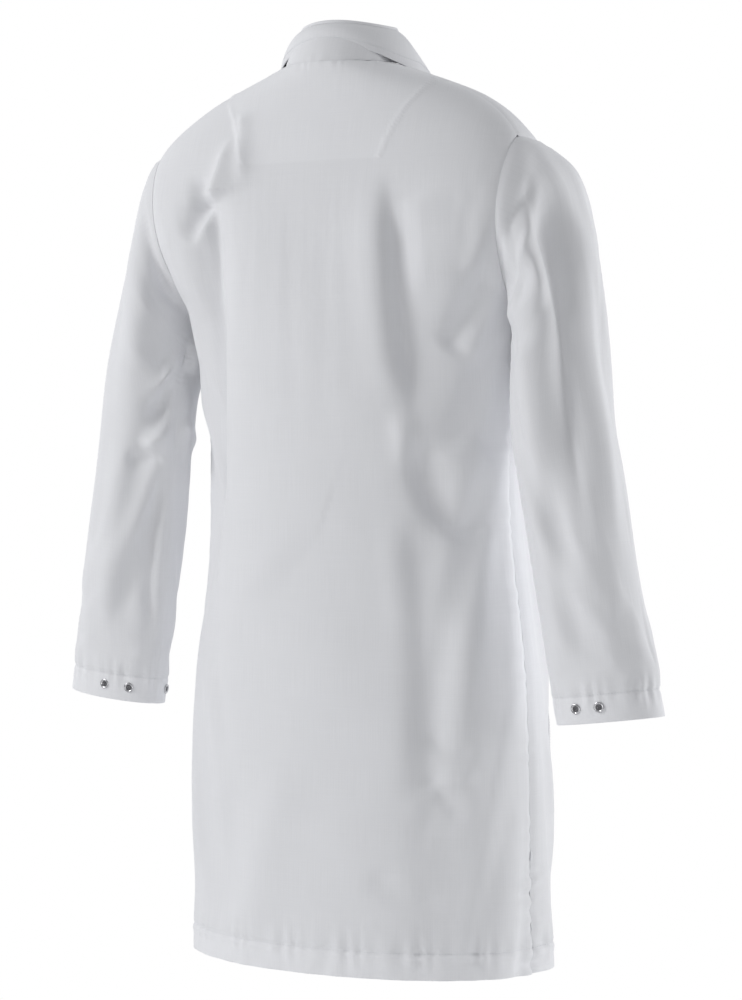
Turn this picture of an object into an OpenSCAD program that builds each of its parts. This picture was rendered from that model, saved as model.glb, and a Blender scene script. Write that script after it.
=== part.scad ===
// Lab coat, worn shape, held up at the neck. Millimetres, +Z up, front faces -Y, wearer's left is +X.
// The origin is the middle of the neck opening, level with the seam at the nape.

/* [Coat] */
// Length from the nape seam down to the hem
coat_length = 1020; // [960:10:1100]
// Half of the width across the shoulder tips
shoulder_half = 233; // [225:1:240]
// Drop from the nape seam to the shoulder tips
shoulder_drop = 92; // [86:1:98]
// Half of the coat's width at the hem
hem_half = 219; // [214:1:228]
// Half of the coat's depth at the hem
hem_depth = 140; // [130:1:150]
// How far the hem's middle lies in front of the neck's middle
hem_forward = 60; // [50:1:70]
// Thickness of one layer of cloth, drawn thicker than real so that it is a solid
cloth = 1.2; // [1:0.1:1.4]

/* [Armhole and sleeves] */
// Drop from the nape seam to the bottom of the armhole
armhole_drop = 296; // [290:1:302]
// Half of the coat's width at the bottom of the armhole
armhole_half = 208; // [204:1:212]
// Drop from the nape seam to the sleeve's end
cuff_drop = 736; // [725:1:750]
// Half width of the sleeve's end, side to side
cuff_half = 63; // [59:1:66]
// Height of the stitched cuff band
cuff_band = 29; // [26:1:32]

/* [Collar] */
// Half width of the neck opening at its seam
neck_half = 72; // [70:1:75]
// Half depth of the neck opening at its seam
neck_depth = 64; // [62:1:67]
// Height of the collar's fold above the nape seam
collar_rise = 47; // [42:1:50]

/* [Front] */
// Distance from the middle to the line where each front folds open
front_fold = 78; // [74:1:82]
// How far each front runs past the middle
front_overlap = 20; // [16:1:24]
// Drop from the nape seam to the bottom of the V opening
v_drop = 222; // [210:1:235]
// Number of press studs down the front
front_studs = 6; // [4:1:7]

/* [Fasteners] */
// Outer radius of a press stud's ring
stud_r = 6; // [5:0.5:6.5]

/* [Trim] */
// Height of the hem's turned band
hem_band = 29; // [25:1:32]
// Height of the slit at the foot of each side seam
slit_height = 132; // [110:2:150]

/* [Hidden] */

white = [0.93, 0.94, 0.96];
shade = [0.86, 0.88, 0.91];
steel = [0.62, 0.63, 0.65];

layer_gap = 0.3;         // clear gap between two layers of cloth with the same rows
lining_gap = 1.8;        // clear gap between a panel and a layer with rows of its own
side_seam = 7;           // degrees that the side seam lies behind the widest point
row_step = 30;           // height of one row of a panel
sleeve_sides = 24;       // flats round a sleeve
elbow_drop = 460;        // from the nape seam to the elbow fold
joint_gap = 1.5;         // gap between two pieces that move against each other

// ---- helper functions -------------------------------------------------------------------
function ramp(t) = t <= 0 ? 0 : t >= 1 ? 1 : t * t * (3 - 2 * t);
function mix(a, b, t) = a + (b - a) * t;
function power(base, e) = pow(max(base, 0), e);
function unit(v) = v / max(norm(v), 0.000001);

// Smooth curve through rows of numbers whose first column is the position, read at x
function slope_at(s, i) =
  let (lo = max(i - 1, 0), hi = min(i + 1, len(s) - 1)) (s[hi] - s[lo]) / (s[hi][0] - s[lo][0]);
function row_of(s, x, i = 0) = i >= len(s) - 2 || x <= s[i + 1][0] ? i : row_of(s, x, i + 1);
function through(s, x) =
  let (i = row_of(s, x), h = s[i + 1][0] - s[i][0], t = (x - s[i][0]) / h,
       t2 = t * t, t3 = t2 * t)
  s[i] * (2 * t3 - 3 * t2 + 1) + slope_at(s, i) * h * (t3 - 2 * t2 + t)
  + s[i + 1] * (3 * t2 - 2 * t3) + slope_at(s, i + 1) * h * (t3 - t2);

// ---- the body of the coat ---------------------------------------------------------------
// Each row: height, half width, front depth, back depth, middle's y, squareness of back and front
body_rows = [
  [-coat_length, hem_half, hem_depth - 6, hem_depth, -hem_forward, 2.15, 2.5],
  [-700, 215, 119, 134, -56, 2.2, 3],
  [-500, 197, 116, 128, -50, 2.25, 3],
  [-armhole_drop, armhole_half + 1, 121, 118, -35, 2.4, 3],
  [-240, 222, 137, 101, -16, 3, 3],
  [-160, 252, 125, 84, -3, 3.7, 3.2],
  [-shoulder_drop, shoulder_half + 2, 92, 62, 12, 2.6, 2.6],
  [-42, 178, 78, 64, 0, 2.3, 2.3],
  [0, neck_half, 66, neck_depth, 0, 2.1, 2.1]
];
function body(z) = through(body_rows, z);

// A point on the coat's outer face at an angle (0 left side, 90 back) and height
function skin(angle, z, out = 0) =
  let (b = body(z), c = cos(angle), s = sin(angle), e = 2 / (s > 0 ? b[5] : b[6]),
       x = b[1] * sign(c) * power(abs(c), e),
       d = s > 0 ? b[3] : b[2],
       y = b[4] + d * sign(s) * power(abs(s), e),
       n = unit([x / pow(b[1], 2), (y - b[4]) / pow(d, 2), 0]))
  [x + n[0] * out, y + n[1] * out, z];
// The angle at which the outer face has a given x, in the back half or in the front half
function angle_of(x, z, col = 5) = let (b = body(z)) acos(min(1, power(abs(x) / b[1], b[col] / 2)) * sign(x));
function front_angle_of(x, z) = -angle_of(x, z, 6);

// The armhole is cut by a sloping plane, so its x depends on the height only
function armhole_x(z) = mix(armhole_half, shoulder_half, (z + armhole_drop) / (armhole_drop - shoulder_drop));
shoulder_seam = angle_of(shoulder_half, -shoulder_drop);
function arm_x(z) = min(armhole_x(z), body(z)[1] * 0.994);
function back_edge(z) =
  z <= -armhole_drop ? side_seam : z >= -shoulder_drop ? shoulder_seam : angle_of(arm_x(z), z);
function front_edge(z) = z < -armhole_drop ? side_seam - 0.3
  : z >= -shoulder_drop ? shoulder_seam - 0.3 : front_angle_of(arm_x(z), z);

// The front's inner border: the V from the side of the neck to the first stud
function v_x(z) = mix(front_overlap - 4, neck_half, power((z + v_drop) / v_drop, 1.25));

// ---- a closed thin sheet from a grid of points on its outer face ------------------------------
function grid_normal(g, i, j) =
  let (m = len(g) - 1, n = len(g[0]) - 1,
       a = g[min(i + 1, m)][j] - g[max(i - 1, 0)][j],
       b = g[i][min(j + 1, n)] - g[i][max(j - 1, 0)])
  unit(cross(a, b));
module sheet(g, inward, t = cloth) {
  m = len(g);
  n = len(g[0]);
  outer = [for (i = [0:m - 1], j = [0:n - 1]) g[i][j]];
  inner = [for (i = [0:m - 1], j = [0:n - 1]) g[i][j] + grid_normal(g, i, j) * inward * t];
  all = m * n;
  function at(i, j) = i * n + j;
  faces = concat(
    [for (i = [0:m - 2], j = [0:n - 2]) each
      [[at(i, j), at(i + 1, j), at(i + 1, j + 1)], [at(i, j), at(i + 1, j + 1), at(i, j + 1)]]],
    [for (i = [0:m - 2], j = [0:n - 2]) each
      [[all + at(i, j), all + at(i + 1, j + 1), all + at(i + 1, j)],
       [all + at(i, j), all + at(i, j + 1), all + at(i + 1, j + 1)]]],
    [for (i = [0:m - 2]) each
      [[at(i, 0), all + at(i + 1, 0), at(i + 1, 0)], [at(i, 0), all + at(i, 0), all + at(i + 1, 0)],
       [at(i, n - 1), at(i + 1, n - 1), all + at(i + 1, n - 1)],
       [at(i, n - 1), all + at(i + 1, n - 1), all + at(i, n - 1)]]],
    [for (j = [0:n - 2]) each
      [[at(0, j), at(0, j + 1), all + at(0, j + 1)], [at(0, j), all + at(0, j + 1), all + at(0, j)],
       [at(m - 1, j), all + at(m - 1, j + 1), at(m - 1, j + 1)],
       [at(m - 1, j), all + at(m - 1, j), all + at(m - 1, j + 1)]]]);
  turned = inward > 0 ? [for (f = faces) [f[0], f[2], f[1]]] : faces;
  polyhedron(points = concat(outer, inner), faces = turned, convexity = 8);
}
// A closed thin tube from rings of points
module tube(rings, t = cloth) {
  m = len(rings);
  n = len(rings[0]);
  middle = [for (r = rings) [for (k = [0:2]) [for (p = r) p[k]] * [for (p = r) 1] / n]];
  outer = [for (r = rings) each r];
  inner = [for (i = [0:m - 1], p = rings[i]) p + unit(middle[i] - p) * t];
  all = m * n;
  function at(i, j) = i * n + j % n;
  polyhedron(points = concat(outer, inner), convexity = 8, faces = concat(
    [for (i = [0:m - 2], j = [0:n - 1]) each
      [[at(i, j), at(i + 1, j + 1), at(i + 1, j)], [at(i, j), at(i, j + 1), at(i + 1, j + 1)]]],
    [for (i = [0:m - 2], j = [0:n - 1]) each
      [[all + at(i, j), all + at(i + 1, j), all + at(i + 1, j + 1)],
       [all + at(i, j), all + at(i + 1, j + 1), all + at(i, j + 1)]]],
    [for (j = [0:n - 1]) each
      [[at(0, j), all + at(0, j + 1), at(0, j + 1)], [at(0, j), all + at(0, j), all + at(0, j + 1)],
       [at(m - 1, j), at(m - 1, j + 1), all + at(m - 1, j + 1)],
       [at(m - 1, j), all + at(m - 1, j + 1), all + at(m - 1, j)]]]));
}
// Rows of a grid on the coat's face, each row between two angles
function steps(lo, hi, size) = let (n = max(1, round((hi - lo) / size))) [for (i = [0:n]) mix(lo, hi, i / n)];

// ---- back ----------------------------------------------------------------------------------
module back_panel() {
  across = 22;
  gap = 0.15;
  rows = concat(steps(-coat_length, -armhole_drop, 50), [for (z = [-280:row_step - 4:-shoulder_drop - 8]) z],
                [-shoulder_drop, -66, -36, -12, 0]);
  g = [for (z = rows) let (a = back_edge(z) + gap) [for (j = [0:across]) skin(mix(a, 180 - a, j / across), z)]];
  color(white) sheet(g, 1);
}
// The hem's turned-up layer, inside the panel
module hem_strip(a0, a1, n) {
  inside = -(cloth + lining_gap);
  g = [for (z = [-coat_length, -coat_length + hem_band]) [for (j = [0:n]) skin(mix(a0, a1, j / n), z, inside)]];
  sheet(g, 1);
}
module back_hem_band() color(shade) hem_strip(side_seam + 2, 178 - side_seam, 20);

module back_neck_facing() {
  inside = -(cloth + lining_gap);
  depth = 112;
  g = [for (z = steps(-depth, -6, 15))
        let (w = mix(82, 108, ramp((z + depth) / depth)), b = body(z)[1],
             a = angle_of(min(w, b * 0.93), z))
        [for (j = [0:10]) skin(mix(a, 180 - a, j / 10), z, inside)]];
  color(shade) sheet(g, 1);
}
module neck_label() {
  wide = 52;
  tall = 24;
  inside = -2 * (cloth + lining_gap);
  g = [for (z = [-18 - tall, -18]) let (a = angle_of(wide / 2, z))
        [for (j = [0:4]) skin(mix(a, 180 - a, j / 4), z, inside)]];
  color(shade) sheet(g, 1, 0.8);
}
// A flat tape sewn down at both ends, its middle hanging free
loop_half = 34;
loop_y = 48;
module hanger_loop() {
  tape = 5;
  drop = 20;
  thick = 1.5;
  color(shade) translate([0, loop_y + thick / 2, -3]) rotate([90, 0, 0]) linear_extrude(thick) difference() {
    union() {
      translate([-loop_half, -drop]) square([2 * loop_half, drop]);
      translate([-loop_half + drop / 2, -drop]) circle(drop / 2, $fn = 32);
      translate([loop_half - drop / 2, -drop]) circle(drop / 2, $fn = 32);
      translate([-loop_half + drop / 2, -drop - drop / 2]) square([2 * loop_half - drop, drop]);
    }
    union() {
      translate([-loop_half + tape, -drop]) square([2 * (loop_half - tape), drop + 1]);
      translate([-loop_half + drop / 2, -drop]) circle(drop / 2 - tape, $fn = 32);
      translate([loop_half - drop / 2, -drop]) circle(drop / 2 - tape, $fn = 32);
      translate([-loop_half + drop / 2, -drop - drop / 2 + tape]) square([2 * loop_half - drop, drop / 2]);
    }
  }
}

// ---- fronts ------------------------------------------------------------------------------
// The part of each front that stays put: side, shoulder and the border of the V
module side_front() {
  across = 9;
  low = [for (z = steps(-coat_length, -armhole_drop - 4, 62)) z];
  rows = concat(low, [-armhole_drop + 12, -258, -v_drop - 3]);
  high = [-v_drop, -190, -160, -130, -shoulder_drop - 12, -shoulder_drop, -66, -36, -12];
  function inner(z) = front_angle_of(z <= -v_drop - 2 ? front_fold + joint_gap : v_x(z), z);
  g = [for (z = concat(rows, high))
        [for (j = [0:across]) skin(mix(front_edge(z), inner(z), j / across), z)]];
  sheet(g, -1);
}
module left_side_front() color(white) side_front();
module right_side_front() color(white) mirror([1, 0, 0]) side_front();
module front_hem_band() hem_strip(front_angle_of(front_fold + 4, -coat_length), side_seam - 2, 10);
module left_front_hem_band() color(shade) front_hem_band();
module right_front_hem_band() color(shade) mirror([1, 0, 0]) front_hem_band();

// The part of each front that swings open; lift raises the upper front over the lower one
function front_point(x, z, lift) =
  let (b = body(z), y = b[4] - b[2] * power(1 - power(abs(x) / b[1], b[6]), 1 / b[6]))
  [x, y - lift * ramp((front_fold - x) / (front_fold - front_overlap)), z];
flap_top = -v_drop - 4.5;
flap_columns = [front_fold - joint_gap, 63, 50, front_overlap + 18, front_overlap + 2, 8, -6, -front_overlap];
stud_top = v_drop + 22;
flap_rows = concat(steps(-coat_length, -armhole_drop, 50),
                   [-stud_top - 2 * stud_r, -stud_top - stud_r, -stud_top + stud_r, flap_top]);
module front_flap(lift) sheet([for (z = flap_rows) [for (x = flap_columns) front_point(x, z, lift)]], -1);
facing_cloth = 0.9;
module front_facing(lift) {
  back = [0, cloth + layer_gap, 0];
  columns = [for (k = [3:len(flap_columns) - 1]) flap_columns[k]];
  sheet([for (z = flap_rows) [for (x = columns) front_point(x, z, lift) + back]], -1, facing_cloth);
}
over_lift = 2 * cloth + facing_cloth + 6 * layer_gap;
module left_front_flap() color(white) front_flap(over_lift);
module right_front_flap() color(white) mirror([1, 0, 0]) front_flap(0);
module left_front_facing() color(shade) front_facing(over_lift);
module right_front_facing() color(shade) mirror([1, 0, 0]) front_facing(0);

module lapel() {
  low = -v_drop + 6;
  high = -84;
  out = 3;
  g = [for (z = steps(low, high, 16))
        let (w = mix(4, 62, power((z - low) / (high - low), 0.8)))
        [for (j = [0:4]) let (x = v_x(z) + w * j / 4) skin(front_angle_of(x, z), z, out)]];
  sheet(g, 1);
}
module left_lapel() color(white) lapel();
module right_lapel() color(white) mirror([1, 0, 0]) lapel();

// ---- collar ------------------------------------------------------------------------------
// Each line runs from s = -1 at the right front end, over 0 at the nape, to 1 at the left front end.
// ring: half width, half depth, middle's y, height at the nape, height at the side of the neck
function curve(a, b, c, t) = a * (1 - t) * (1 - t) + b * 2 * t * (1 - t) + c * t * t;
function ring_point(u, ring) =
  [ring[0] * sin(180 * u), ring[2] + ring[1] * cos(180 * u), mix(ring[3], ring[4], pow(sin(180 * u), 2))];
function collar_point(s, line) =
  let (u = abs(s), ring = line[0], side = s < 0 ? -1 : 1,
       p = u <= 0.5 ? ring_point(u, ring) : curve(ring_point(0.5, ring), line[1], line[2], 2 * u - 1))
  [p[0] * side, p[1], p[2]];
seam_line = [[neck_half - 1, neck_depth - 1, 0, 0.6, 0.6], [57, -88, -38], [46, -80, -82]];
fold_line = [[57, 52, -13, collar_rise, collar_rise - 9], [60, -64, -6], [49, -90, -78]];
leaf_top = [[60, 55, -13, collar_rise + 2, collar_rise - 7], [64, -69, -4], [51, -96, -76]];
leaf_edge = [[103, 92, -22, collar_rise - 23, -7], [116, -76, -8], [94, -102, -90]];
module between(low, high, rows, inward, t = cloth) {
  n = 28;
  g = [for (i = [0:rows]) [for (j = [0:n])
        let (s = 2 * j / n - 1) collar_point(s, low) * (1 - i / rows) + collar_point(s, high) * i / rows]];
  sheet(g, inward, t);
}
module collar_stand() color(white) between(seam_line, fold_line, 2, 1, 1.5);
module collar_leaf() color(white) between(leaf_top, leaf_edge, 3, 1, 1.5);

// ---- sleeves -------------------------------------------------------------------------------
// Each row: position down the sleeve, outer edge's x and z, inner edge's x and z, half depth, middle's y
sleeve_rows = [
  [0, shoulder_half + 3, -shoulder_drop - 2, armhole_half + 2.5, -armhole_drop - 2, 73, -10],
  [0.07, 275, -124, 212, -308, 80, -24],
  [0.14, 292, -174, 213, -322, 78, -24],
  [0.24, 308, -240, 214, -342, 70, -15],
  [0.36, 321, -320, 216, -374, 62, -4],
  [0.48, 332, -392, 218, -425, 56, -2],
  [0.58, 343, -elbow_drop + 8, 223, -elbow_drop - 8, 52, -4],
  [1, 326 + cuff_half, -cuff_drop + 15, 326 - cuff_half, -cuff_drop, 36, -14]
];
// A point on the sleeve: turn 0 is its outer edge, 90 the back; out moves it off the cloth
function sleeve_point(t, turn, out = 0) =
  let (r = through(sleeve_rows, t),
       o = [r[1], r[6], r[2]], i = [r[3], r[6], r[4]], half = (o - i) / 2,
       n = unit(half * cos(turn) / pow(norm(half), 2) + [0, sin(turn) / r[5], 0]))
  (o + i) / 2 + half * cos(turn) + [0, r[5] * sin(turn), 0] + n * out;
function sleeve_ring(t, out = 0) = [for (k = [0:sleeve_sides - 1]) sleeve_point(t, 360 * k / sleeve_sides, out)];
elbow_t = 0.58;
elbow_gap = 0.003;
module upper_sleeve() tube([for (t = [0, 0.035, 0.07, 0.14, 0.24, 0.36, 0.48, elbow_t - elbow_gap]) sleeve_ring(t)]);
module lower_sleeve() tube([for (t = [elbow_t + elbow_gap, 0.68, 0.78, 0.88, 1]) sleeve_ring(t)]);
module cuff_hem() {
  inside = -(cloth + lining_gap / 2);
  band = cuff_band / (cuff_drop - elbow_drop) * (1 - elbow_t);
  tube([for (t = [1 - band, 1]) sleeve_ring(t, inside)]);
}
module left_upper_sleeve() color(white) upper_sleeve();
module right_upper_sleeve() color(white) mirror([1, 0, 0]) upper_sleeve();
module left_lower_sleeve() color(white) lower_sleeve();
module right_lower_sleeve() color(white) mirror([1, 0, 0]) lower_sleeve();
module left_cuff_band() color(shade) cuff_hem();
module right_cuff_band() color(shade) mirror([1, 0, 0]) cuff_hem();

// ---- press studs -----------------------------------------------------------------------------
module facing_along(p, n) translate(p) rotate([0, acos(n[2]), atan2(n[1], n[0])]) children();
module ring_face(r, bore, high) rotate_extrude($fn = 48) polygon([
  [bore, 0], [r, 0], [r, high * 0.45], [r - 0.5, high * 0.9], [r - 1, high], [bore + 0.6, high],
  [bore, high * 0.6]]);
// The cuff's studs: two to choose from at the back, and their partner by the inner edge
cuff_turns = [89, 120, 182];
cuff_t = 1 - 0.5 * cuff_band / (cuff_drop - elbow_drop) * (1 - elbow_t);
module on_cuff(out) for (turn = cuff_turns)
  let (p = sleeve_point(cuff_t, turn, out), q = sleeve_point(cuff_t, turn, out + 1)) facing_along(p, unit(q - p))
    children();
module cuff_rings() on_cuff(0.8) {
  ring_face(stud_r, 3, 1.1);
  cylinder(h = 0.7, r = 3.2, $fn = 48);
}
module cuff_backs() on_cuff(-2 * cloth - lining_gap - 2.2) ring_face(stud_r - 0.4, 2.2, 0.7);
module left_cuff_stud_rings() color(steel) cuff_rings();
module right_cuff_stud_rings() color(steel) mirror([1, 0, 0]) cuff_rings();
module left_cuff_stud_backs() color(steel) cuff_backs();
module right_cuff_stud_backs() color(steel) mirror([1, 0, 0]) cuff_backs();

// The front's studs, each on the middle line; out is the distance off the lower front's outer face
stud_pitch = (coat_length - 190 - stud_top) / (front_studs - 1);
module on_front(out) for (k = [0:front_studs - 1])
  let (z = -stud_top - k * stud_pitch, p = front_point(0, z, 0), q = front_point(0, z - 20, 0),
       slope = atan2(p[1] - q[1], 20))
  translate(p - [0, out, 0]) rotate([90 - slope, 0, 0]) children();
module front_stud_caps() color(steel) on_front(over_lift + 0.5) {
  ring_face(stud_r, 3, 1.1);
  cylinder(h = 0.7, r = 3.2, $fn = 48);
}
module front_stud_sockets() color(steel) on_front(1) difference() {
  cylinder(h = 0.9, r = stud_r - 0.6, $fn = 48);
  translate([0, 0, -1]) cylinder(h = 1.6, r = 2.2, $fn = 48);
}
module front_studs_lower() color(steel) on_front(0.3) {
  cylinder(h = 0.4, r = stud_r - 1, $fn = 48);
  cylinder(h = 1, r = 1.7, $fn = 48);
}
module front_stud_posts() color(steel) on_front(-2 * cloth - layer_gap - 1.3) ring_face(stud_r - 0.4, 2.2, 0.7);

// ---- pockets and bar tacks ----------------------------------------------------------------------
module pocket(x0, x1, low, high) {
  out = cloth + lining_gap;
  g = [for (z = steps(low, high, 45)) [for (j = [0:8]) skin(front_angle_of(mix(x0, x1, j / 8), z), z, out)]];
  sheet(g, 1);
}
pocket_inner = front_fold + 10;
module chest_pocket() color(shade) pocket(pocket_inner, pocket_inner + 90, -400, -272);
module left_hip_pocket() color(shade) pocket(pocket_inner, pocket_inner + 104, -800, -610);
module right_hip_pocket() color(shade) mirror([1, 0, 0]) pocket(pocket_inner, pocket_inner + 104, -800, -610);

module bar_tack() {
  p = skin(side_seam, -coat_length + slit_height, 0.3);
  translate(p) rotate([0, 0, side_seam]) translate([0, -1.5, -5]) cube([1, 3, 10]);
}
module left_slit_bar_tack() color(shade) bar_tack();
module right_slit_bar_tack() color(shade) mirror([1, 0, 0]) bar_tack();

back_panel();
back_hem_band();
back_neck_facing();
neck_label();
hanger_loop();
left_side_front();
right_side_front();
left_front_hem_band();
right_front_hem_band();
left_front_flap();
right_front_flap();
left_front_facing();
right_front_facing();
left_lapel();
right_lapel();
collar_stand();
collar_leaf();
left_upper_sleeve();
right_upper_sleeve();
left_lower_sleeve();
right_lower_sleeve();
left_cuff_band();
right_cuff_band();
left_cuff_stud_rings();
right_cuff_stud_rings();
left_cuff_stud_backs();
right_cuff_stud_backs();
front_stud_caps();
front_stud_sockets();
front_studs_lower();
front_stud_posts();
chest_pocket();
left_hip_pocket();
right_hip_pocket();
left_slit_bar_tack();
right_slit_bar_tack();
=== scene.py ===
import math

import bpy
import numpy as np
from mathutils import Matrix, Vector


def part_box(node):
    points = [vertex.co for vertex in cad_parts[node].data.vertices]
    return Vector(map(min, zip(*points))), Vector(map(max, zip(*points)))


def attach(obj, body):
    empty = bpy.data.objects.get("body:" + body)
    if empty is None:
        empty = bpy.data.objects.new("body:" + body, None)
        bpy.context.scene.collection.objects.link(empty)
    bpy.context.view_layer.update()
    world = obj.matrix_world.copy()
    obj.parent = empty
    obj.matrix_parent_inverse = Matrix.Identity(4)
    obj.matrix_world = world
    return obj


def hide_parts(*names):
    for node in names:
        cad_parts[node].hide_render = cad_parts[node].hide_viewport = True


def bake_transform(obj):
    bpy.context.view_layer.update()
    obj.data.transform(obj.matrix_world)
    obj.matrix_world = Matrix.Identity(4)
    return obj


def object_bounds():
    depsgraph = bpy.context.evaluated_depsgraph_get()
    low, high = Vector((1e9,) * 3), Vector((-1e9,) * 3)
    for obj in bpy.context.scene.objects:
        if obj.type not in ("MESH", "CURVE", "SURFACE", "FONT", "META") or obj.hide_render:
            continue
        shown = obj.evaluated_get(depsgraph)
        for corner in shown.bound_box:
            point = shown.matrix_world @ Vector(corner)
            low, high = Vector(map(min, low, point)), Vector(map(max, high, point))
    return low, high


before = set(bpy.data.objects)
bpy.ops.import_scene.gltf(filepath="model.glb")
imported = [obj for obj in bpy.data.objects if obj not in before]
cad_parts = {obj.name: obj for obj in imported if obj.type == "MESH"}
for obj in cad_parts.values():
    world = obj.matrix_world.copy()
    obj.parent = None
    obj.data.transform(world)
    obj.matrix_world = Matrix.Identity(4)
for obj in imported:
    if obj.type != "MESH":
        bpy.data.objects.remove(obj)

# Lab coat, seen from behind and from its wearer's right. The shapes are worked out in millimetres, in the
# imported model's frame (+Z up, front faces -Y, +X is the wearer's left, origin in the neck opening), and made
# in metres. u is a distance across the cloth, v down it, and z a height.
MM = 0.001
cad_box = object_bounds()


def node_box(node):
    low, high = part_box(node)
    return np.array(low) / MM, np.array(high) / MM


# ---- driving dimensions, the first ones read from the imported model, the rest given ----
sleeve_top = node_box("left_upper_sleeve")[1]
flap_low, flap_high = node_box("left_front_flap")
hem_low, hem_high = node_box("back_hem_band")
tack_low, tack_high = node_box("left_slit_bar_tack")

COAT_LENGTH = -node_box("back_panel")[0][2]
HEM_BAND = hem_high[2] - hem_low[2]
CUFF_DROP = -node_box("left_lower_sleeve")[0][2]
CUFF_BAND = 29
COLLAR_RISE = node_box("collar_leaf")[1][2] - 1.5
FRONT_FOLD = flap_high[0] + 1.5
FRONT_OVERLAP = -flap_low[0]
V_DROP = -flap_high[2] - 1.5
SLIT_TOP = (tack_low[2] + tack_high[2]) / 2
SHOULDER_DROP = -sleeve_top[2] - 2
SHOULDER_HALF = 233
ARMHOLE_DROP = 296
ARMHOLE_HALF = 208
ELBOW_DROP = 460
ELBOW_T = 0.58         # the elbow's place as a share of the sleeve's length
CUFF_MIDDLE = 326
CUFF_HALF = 63
NECK_HALF = 72
NECK_DEPTH = 64
HEM_HALF = 219
HEM_DEPTH = 140
HEM_FORWARD = 60
SIDE_SEAM = 7
CLOTH = 0.7
SLIT_GAP = 0.35        # degrees by which the front's border stands back from the back's at the side slit
TIP_REACH = 9          # the shoulder's cloth reaches this far under the sleeve's top
UNDERARM_REACH = 45    # and below the arm it reaches this far up inside the sleeve

# Height, half width, front depth, back depth, middle's y, squareness of the back and of the front
BODY_ROWS = [
    (-COAT_LENGTH, HEM_HALF, HEM_DEPTH - 6, HEM_DEPTH, -HEM_FORWARD, 2.15, 2.5),
    (-700, 215, 119, 134, -56, 2.2, 3),
    (-500, 197, 116, 128, -50, 2.25, 3),
    (-ARMHOLE_DROP, ARMHOLE_HALF + 1, 121, 118, -35, 2.4, 3),
    (-240, 222, 137, 101, -16, 3, 3),
    (-160, 252, 125, 84, -3, 3.7, 3.2),
    (-SHOULDER_DROP, SHOULDER_HALF + 2, 92, 62, 12, 2.6, 2.6),
    (-42, 178, 78, 64, 0, 2.3, 2.3),
    (0, NECK_HALF, 66, NECK_DEPTH, 0, 2.1, 2.1),
]
# Position down the sleeve, outer edge's x and z, inner edge's x and z, half depth, middle's y
SLEEVE_ROWS = [
    (0, SHOULDER_HALF + 3, -SHOULDER_DROP - 2, ARMHOLE_HALF + 2.5, -ARMHOLE_DROP - 2, 73, -10),
    (0.07, 275, -124, 212, -308, 80, -24),
    (0.14, 292, -174, 213, -322, 78, -24),
    (0.24, 308, -240, 214, -342, 70, -15),
    (0.36, 321, -320, 216, -374, 62, -4),
    (0.48, 332, -392, 218, -425, 56, -2),
    (ELBOW_T, 343, -ELBOW_DROP + 8, 223, -ELBOW_DROP - 8, 52, -4),
    (1, CUFF_MIDDLE + CUFF_HALF, -CUFF_DROP + 15, CUFF_MIDDLE - CUFF_HALF, -CUFF_DROP, 36, -14),
]


# ---- curves and surfaces ----
def through(rows, x):
    """Smooth curve through rows of numbers whose first column is the position."""
    rows = np.asarray(rows, float)
    x = np.asarray(x, float)
    slopes = np.empty_like(rows)
    slopes[1:-1] = (rows[2:] - rows[:-2]) / (rows[2:, :1] - rows[:-2, :1])
    slopes[0] = (rows[1] - rows[0]) / (rows[1, 0] - rows[0, 0])
    slopes[-1] = (rows[-1] - rows[-2]) / (rows[-1, 0] - rows[-2, 0])
    i = np.clip(np.searchsorted(rows[:, 0], x, side="right") - 1, 0, len(rows) - 2)
    h = (rows[i + 1, 0] - rows[i, 0])[..., None]
    t = (x - rows[i, 0])[..., None] / h
    return (rows[i] * (2 * t**3 - 3 * t**2 + 1) + slopes[i] * h * (t**3 - 2 * t**2 + t)
            + rows[i + 1] * (3 * t**2 - 2 * t**3) + slopes[i + 1] * h * (t**3 - t**2))


def ramp(t):
    t = np.clip(t, 0, 1)
    return t * t * (3 - 2 * t)


def mix(a, b, t):
    return a + (b - a) * t


def bell(x, reach):
    return np.exp(-((x / reach) ** 2))


def unit(v):
    return v / np.maximum(np.linalg.norm(v, axis=-1, keepdims=True), 1e-9)


def skin(angle, z):
    """A point on the coat's outer face at an angle (0 is the left side, 90 the back) and height."""
    angle, z = np.broadcast_arrays(np.radians(angle), np.asarray(z, float))
    b = through(BODY_ROWS, z)
    c, s = np.cos(angle), np.sin(angle)
    back = s > 0
    e = 2 / np.where(back, b[..., 5], b[..., 6])
    x = b[..., 1] * np.sign(c) * np.abs(c) ** e
    y = b[..., 4] + np.where(back, b[..., 3], b[..., 2]) * np.sign(s) * np.abs(s) ** e
    return np.stack([x, y, z], -1)


def angle_of(x, z, column=5):
    """The angle at which the skin lies at a distance from the middle; column picks the squareness."""
    b = through(BODY_ROWS, z)
    share = np.clip(np.abs(x) / b[..., 1], 0, 1) ** (b[..., column] / 2)
    return np.degrees(np.arccos(share * np.sign(x)))


def front_angle_of(x, z):
    return -angle_of(x, z, 6)


SHOULDER_SEAM = float(angle_of(SHOULDER_HALF, -SHOULDER_DROP))


def arm_x(z):
    """The armhole's distance from the middle."""
    line = mix(ARMHOLE_HALF, SHOULDER_HALF, (z + ARMHOLE_DROP) / (ARMHOLE_DROP - SHOULDER_DROP))
    return np.minimum(line, through(BODY_ROWS, z)[..., 1] * 0.994)


def back_edge(z):
    """The back panel's border on the left: side seam, armhole, then shoulder seam."""
    z = np.asarray(z, float)
    low = np.where(z <= -ARMHOLE_DROP, SIDE_SEAM, angle_of(arm_x(z), z))
    return np.where(z >= -SHOULDER_DROP, SHOULDER_SEAM, low)


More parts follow.
